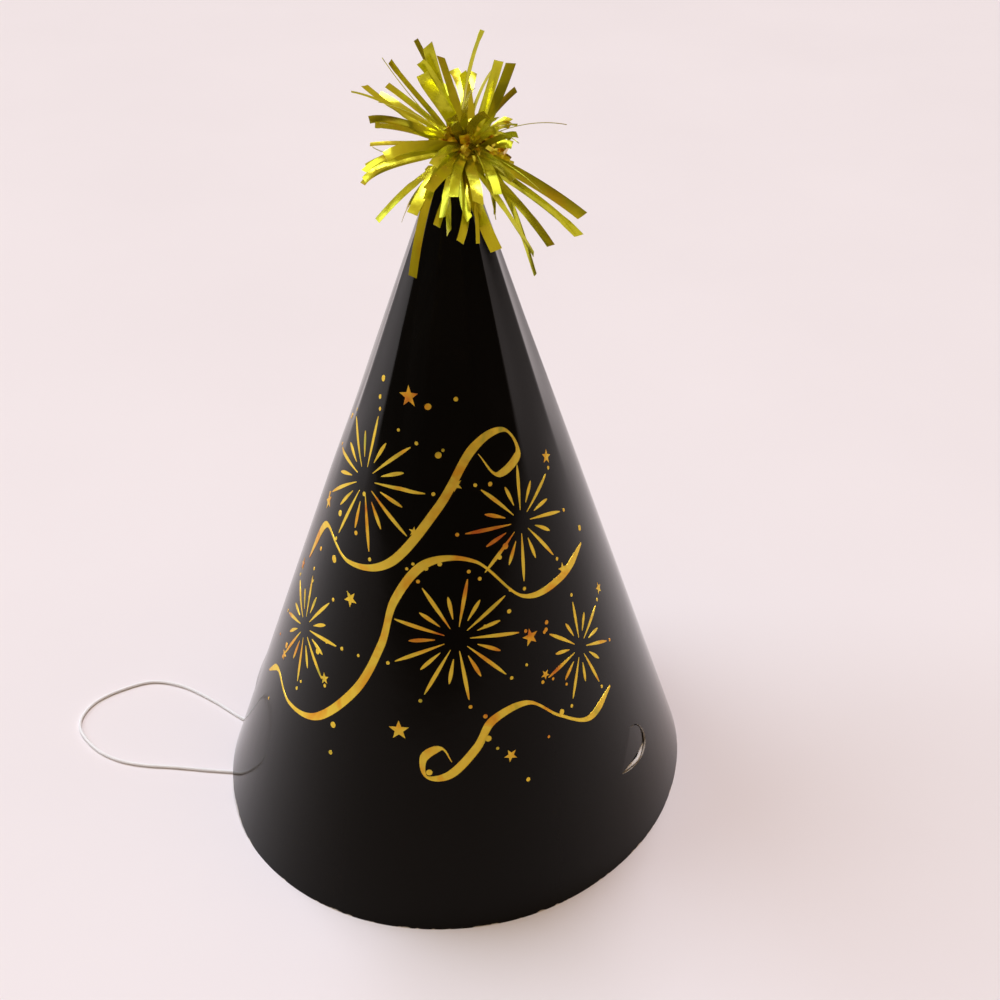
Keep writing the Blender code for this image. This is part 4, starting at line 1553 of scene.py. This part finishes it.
@dataclass
class Studio:
    """A pale table, soft lights and the camera."""

    spot: Vector = Vector((0.10686, -0.29469, 0.28403))
    forward: Vector = Vector((-0.2576, 0.7928, -0.5524))
    roll: float = math.radians(0.607)
    lens: float = 57.6
    sensor: float = 36.0
    clip: tuple[float, float] = (0.01, 20.0)
    table_size: float = 12.0
    lights: tuple = (
        ("window", (-0.97, -0.02, 0.70), 52, 1.62, (0.675, 0.83, 0.985)),
        ("ceiling", (-0.19, 0.36, 1.0), 19, 1.85, (0.80, 0.83, 1.0)),
    )

    def axes(self) -> tuple[Vector, Vector, Vector]:
        """The camera's right, up and back directions."""
        level = self.forward.cross(UP).normalized()
        upright = level.cross(self.forward).normalized()
        right = level * math.cos(self.roll) + upright * math.sin(self.roll)
        up = upright * math.cos(self.roll) - level * math.sin(self.roll)
        return right, up, -self.forward.normalized()

    def camera(self) -> None:
        """Stand the camera in its place."""
        lens = bpy.data.cameras.new("camera")
        lens.lens = self.lens
        lens.sensor_width = self.sensor
        lens.clip_start, lens.clip_end = self.clip
        seen = add_object("camera", lens)
        placed = Matrix(self.axes()).transposed().to_4x4()
        placed.translation = self.spot
        seen.matrix_world = placed
        bpy.context.scene.camera = seen

    def light(self, name: str, spot: tuple, spread: float, power: float, colour: Colour) -> None:
        """Hang one broad soft light.

        Args:
            name: Its name.
            spot: Where it hangs, seen from the hat.
            spread: How wide it looks from the hat, in degrees.
            power: Its strength.
            colour: Its colour.
        """
        lamp = bpy.data.lights.new(name, "SUN")
        lamp.angle = math.radians(spread)
        lamp.energy = power
        lamp.color = colour
        hung = add_object(name, lamp)
        hung.location = spot
        hung.rotation_euler = (-Vector(spot)).to_track_quat("-Z", "Y").to_euler()

    def table(self) -> None:
        """Lay the pale table."""
        deselect_all()
        bpy.ops.mesh.primitive_plane_add(size=self.table_size, location=(0, 0, 0))
        top = bpy.context.object
        top.name = "table"
        made, nodes, links = blank_material("pale_table")
        output = nodes.new("ShaderNodeOutputMaterial")
        output.label = "Table top"
        shader = nodes.new("ShaderNodeBsdfPrincipled")
        shader.label = "Painted board"
        shader.inputs["Roughness"].default_value = 0.62
        where = nodes.new("ShaderNodeTexCoord")
        where.label = "Place on the table"
        mottle = nodes.new("ShaderNodeTexNoise")
        mottle.label = "Faint mottle"
        set_inputs(mottle, {"Scale": 7.0, "Detail": 4.0})
        tones = nodes.new("ShaderNodeValToRGB")
        tones.label = "Paint tones"
        set_stops(tones, ((0.2, (0.825, 0.775, 0.775)), (0.8, (0.865, 0.815, 0.815))))
        links.new(where.outputs["Object"], mottle.inputs["Vector"])
        links.new(mottle.outputs["Fac"], tones.inputs["Fac"])
        links.new(tones.outputs["Color"], shader.inputs["Base Color"])
        links.new(shader.outputs["BSDF"], output.inputs["Surface"])
        lay_out(nodes, (("Mottle", (where, mottle, tones)), ("Surface", (shader, output))))
        dress(top, made)

    def surroundings(self) -> None:
        """A dim room for the gloss to mirror, with a pale backdrop behind the hat."""
        world = bpy.data.worlds.new("studio")
        bpy.context.scene.world = world
        world.use_nodes = True
        nodes, links = world.node_tree.nodes, world.node_tree.links
        nodes.clear()
        output = nodes.new("ShaderNodeOutputWorld")
        output.label = "Surroundings"
        where = nodes.new("ShaderNodeTexCoord")
        where.label = "Way that a ray leaves"
        parts = nodes.new("ShaderNodeSeparateXYZ")
        parts.label = "How steeply it climbs"
        height = nodes.new("ShaderNodeMapRange")
        height.label = "From the horizon up"
        set_inputs(height, {"From Min": 0.15, "From Max": 0.75})
        room = nodes.new("ShaderNodeValToRGB")
        room.label = "Dim walls, pale ceiling"
        set_stops(room, ((0.0, (0.030, 0.026, 0.022)), (1.0, (0.68, 0.465, 0.25))))
        dim = nodes.new("ShaderNodeBackground")
        dim.label = "Room"
        dim.inputs["Strength"].default_value = 0.8
        pale = nodes.new("ShaderNodeBackground")
        pale.label = "Backdrop"
        pale.inputs["Color"].default_value = (0.86, 0.77, 0.77, 1.0)
        seen = nodes.new("ShaderNodeLightPath")
        seen.label = "Straight from the camera"
        both = nodes.new("ShaderNodeMixShader")
        both.label = "Backdrop seen, room mirrored"
        links.new(where.outputs["Generated"], parts.inputs["Vector"])
        links.new(parts.outputs["Z"], height.inputs["Value"])
        links.new(height.outputs["Result"], room.inputs["Fac"])
        links.new(room.outputs["Color"], dim.inputs["Color"])
        links.new(seen.outputs["Is Camera Ray"], both.inputs["Fac"])
        links.new(dim.outputs["Background"], both.inputs[1])
        links.new(pale.outputs["Background"], both.inputs[2])
        links.new(both.outputs["Shader"], output.inputs["Surface"])
        lay_out(nodes, (("Room", (where, parts, height, room, dim)), ("Backdrop", (pale, seen)),
                        ("Surroundings", (both, output))))

    def build(self) -> None:
        """Set up the studio."""
        self.camera()
        self.table()
        for lamp in self.lights:
            self.light(*lamp)
        self.surroundings()
        bpy.context.scene.view_settings.view_transform = "Standard"


def main() -> None:
    """Build the whole hat in its studio."""
    form = ConeForm()
    studio = Studio()
    studio.build()
    ChinElastic(form).build(woven_elastic())
    board = plain_board("white_board_back", (0.80, 0.78, 0.74), (0.66, 0.64, 0.60), 900.0, 0.5)
    cut = plain_board("cut_board_edge", (0.60, 0.56, 0.50), (0.40, 0.37, 0.33), 2600.0, 0.8)
    tape = plain_board("lap_tape_film", (0.72, 0.68, 0.55), (0.58, 0.55, 0.45), 500.0, 0.2)
    CardCone(form).build(gloss_card(), board, cut, tape)
    # The gold tones are the foil's own colour. The red-orange and olive-green tones are a painted
    # sheen: the foil's holographic play of colour, fixed into its base colour as random patches.
    stamped = metal_foil(
        "gold_stamping_foil",
        ((0.70, 0.16, 0.02), (0.95, 0.48, 0.03), (1.0, 0.72, 0.07), (1.0, 0.66, 0.05),
         (0.50, 0.46, 0.05)),
        90.0, 700.0, 0.12, 0.34, 0.50, 0.80,
    )
    FoilPrint(form).build(stamped)
    middle = Vector((0.0036, -0.0014, 0.1637))
    tinsel = metal_foil(
        "lemon_gold_tinsel",
        ((0.63, 0.48, 0.014), (0.60, 0.57, 0.018), (0.68, 0.66, 0.022), (0.55, 0.55, 0.018)),
        110.0, 300.0, 0.22, 0.16, 0.28, 0.72,
    )
    crushed = metal_foil(
        "crushed_gold_tinsel",
        ((0.55, 0.22, 0.015), (0.85, 0.58, 0.03), (0.88, 0.82, 0.05), (0.80, 0.52, 0.03)),
        420.0, 900.0, 0.35, 0.08, 0.22, 0.70,
    )
    brass = metal_foil("brass_wire", ((0.55, 0.36, 0.12), (0.70, 0.50, 0.20)),
                       400.0, 1500.0, 0.2, 0.22, 0.40)
    pom = TinselPom(middle, form, *studio.axes())
    pom.waist(crushed)
    pom.bunches(tinsel)
    pom.hairs(tinsel)
    TieWire(middle).build(brass)


if __name__ == "__main__":
    main()
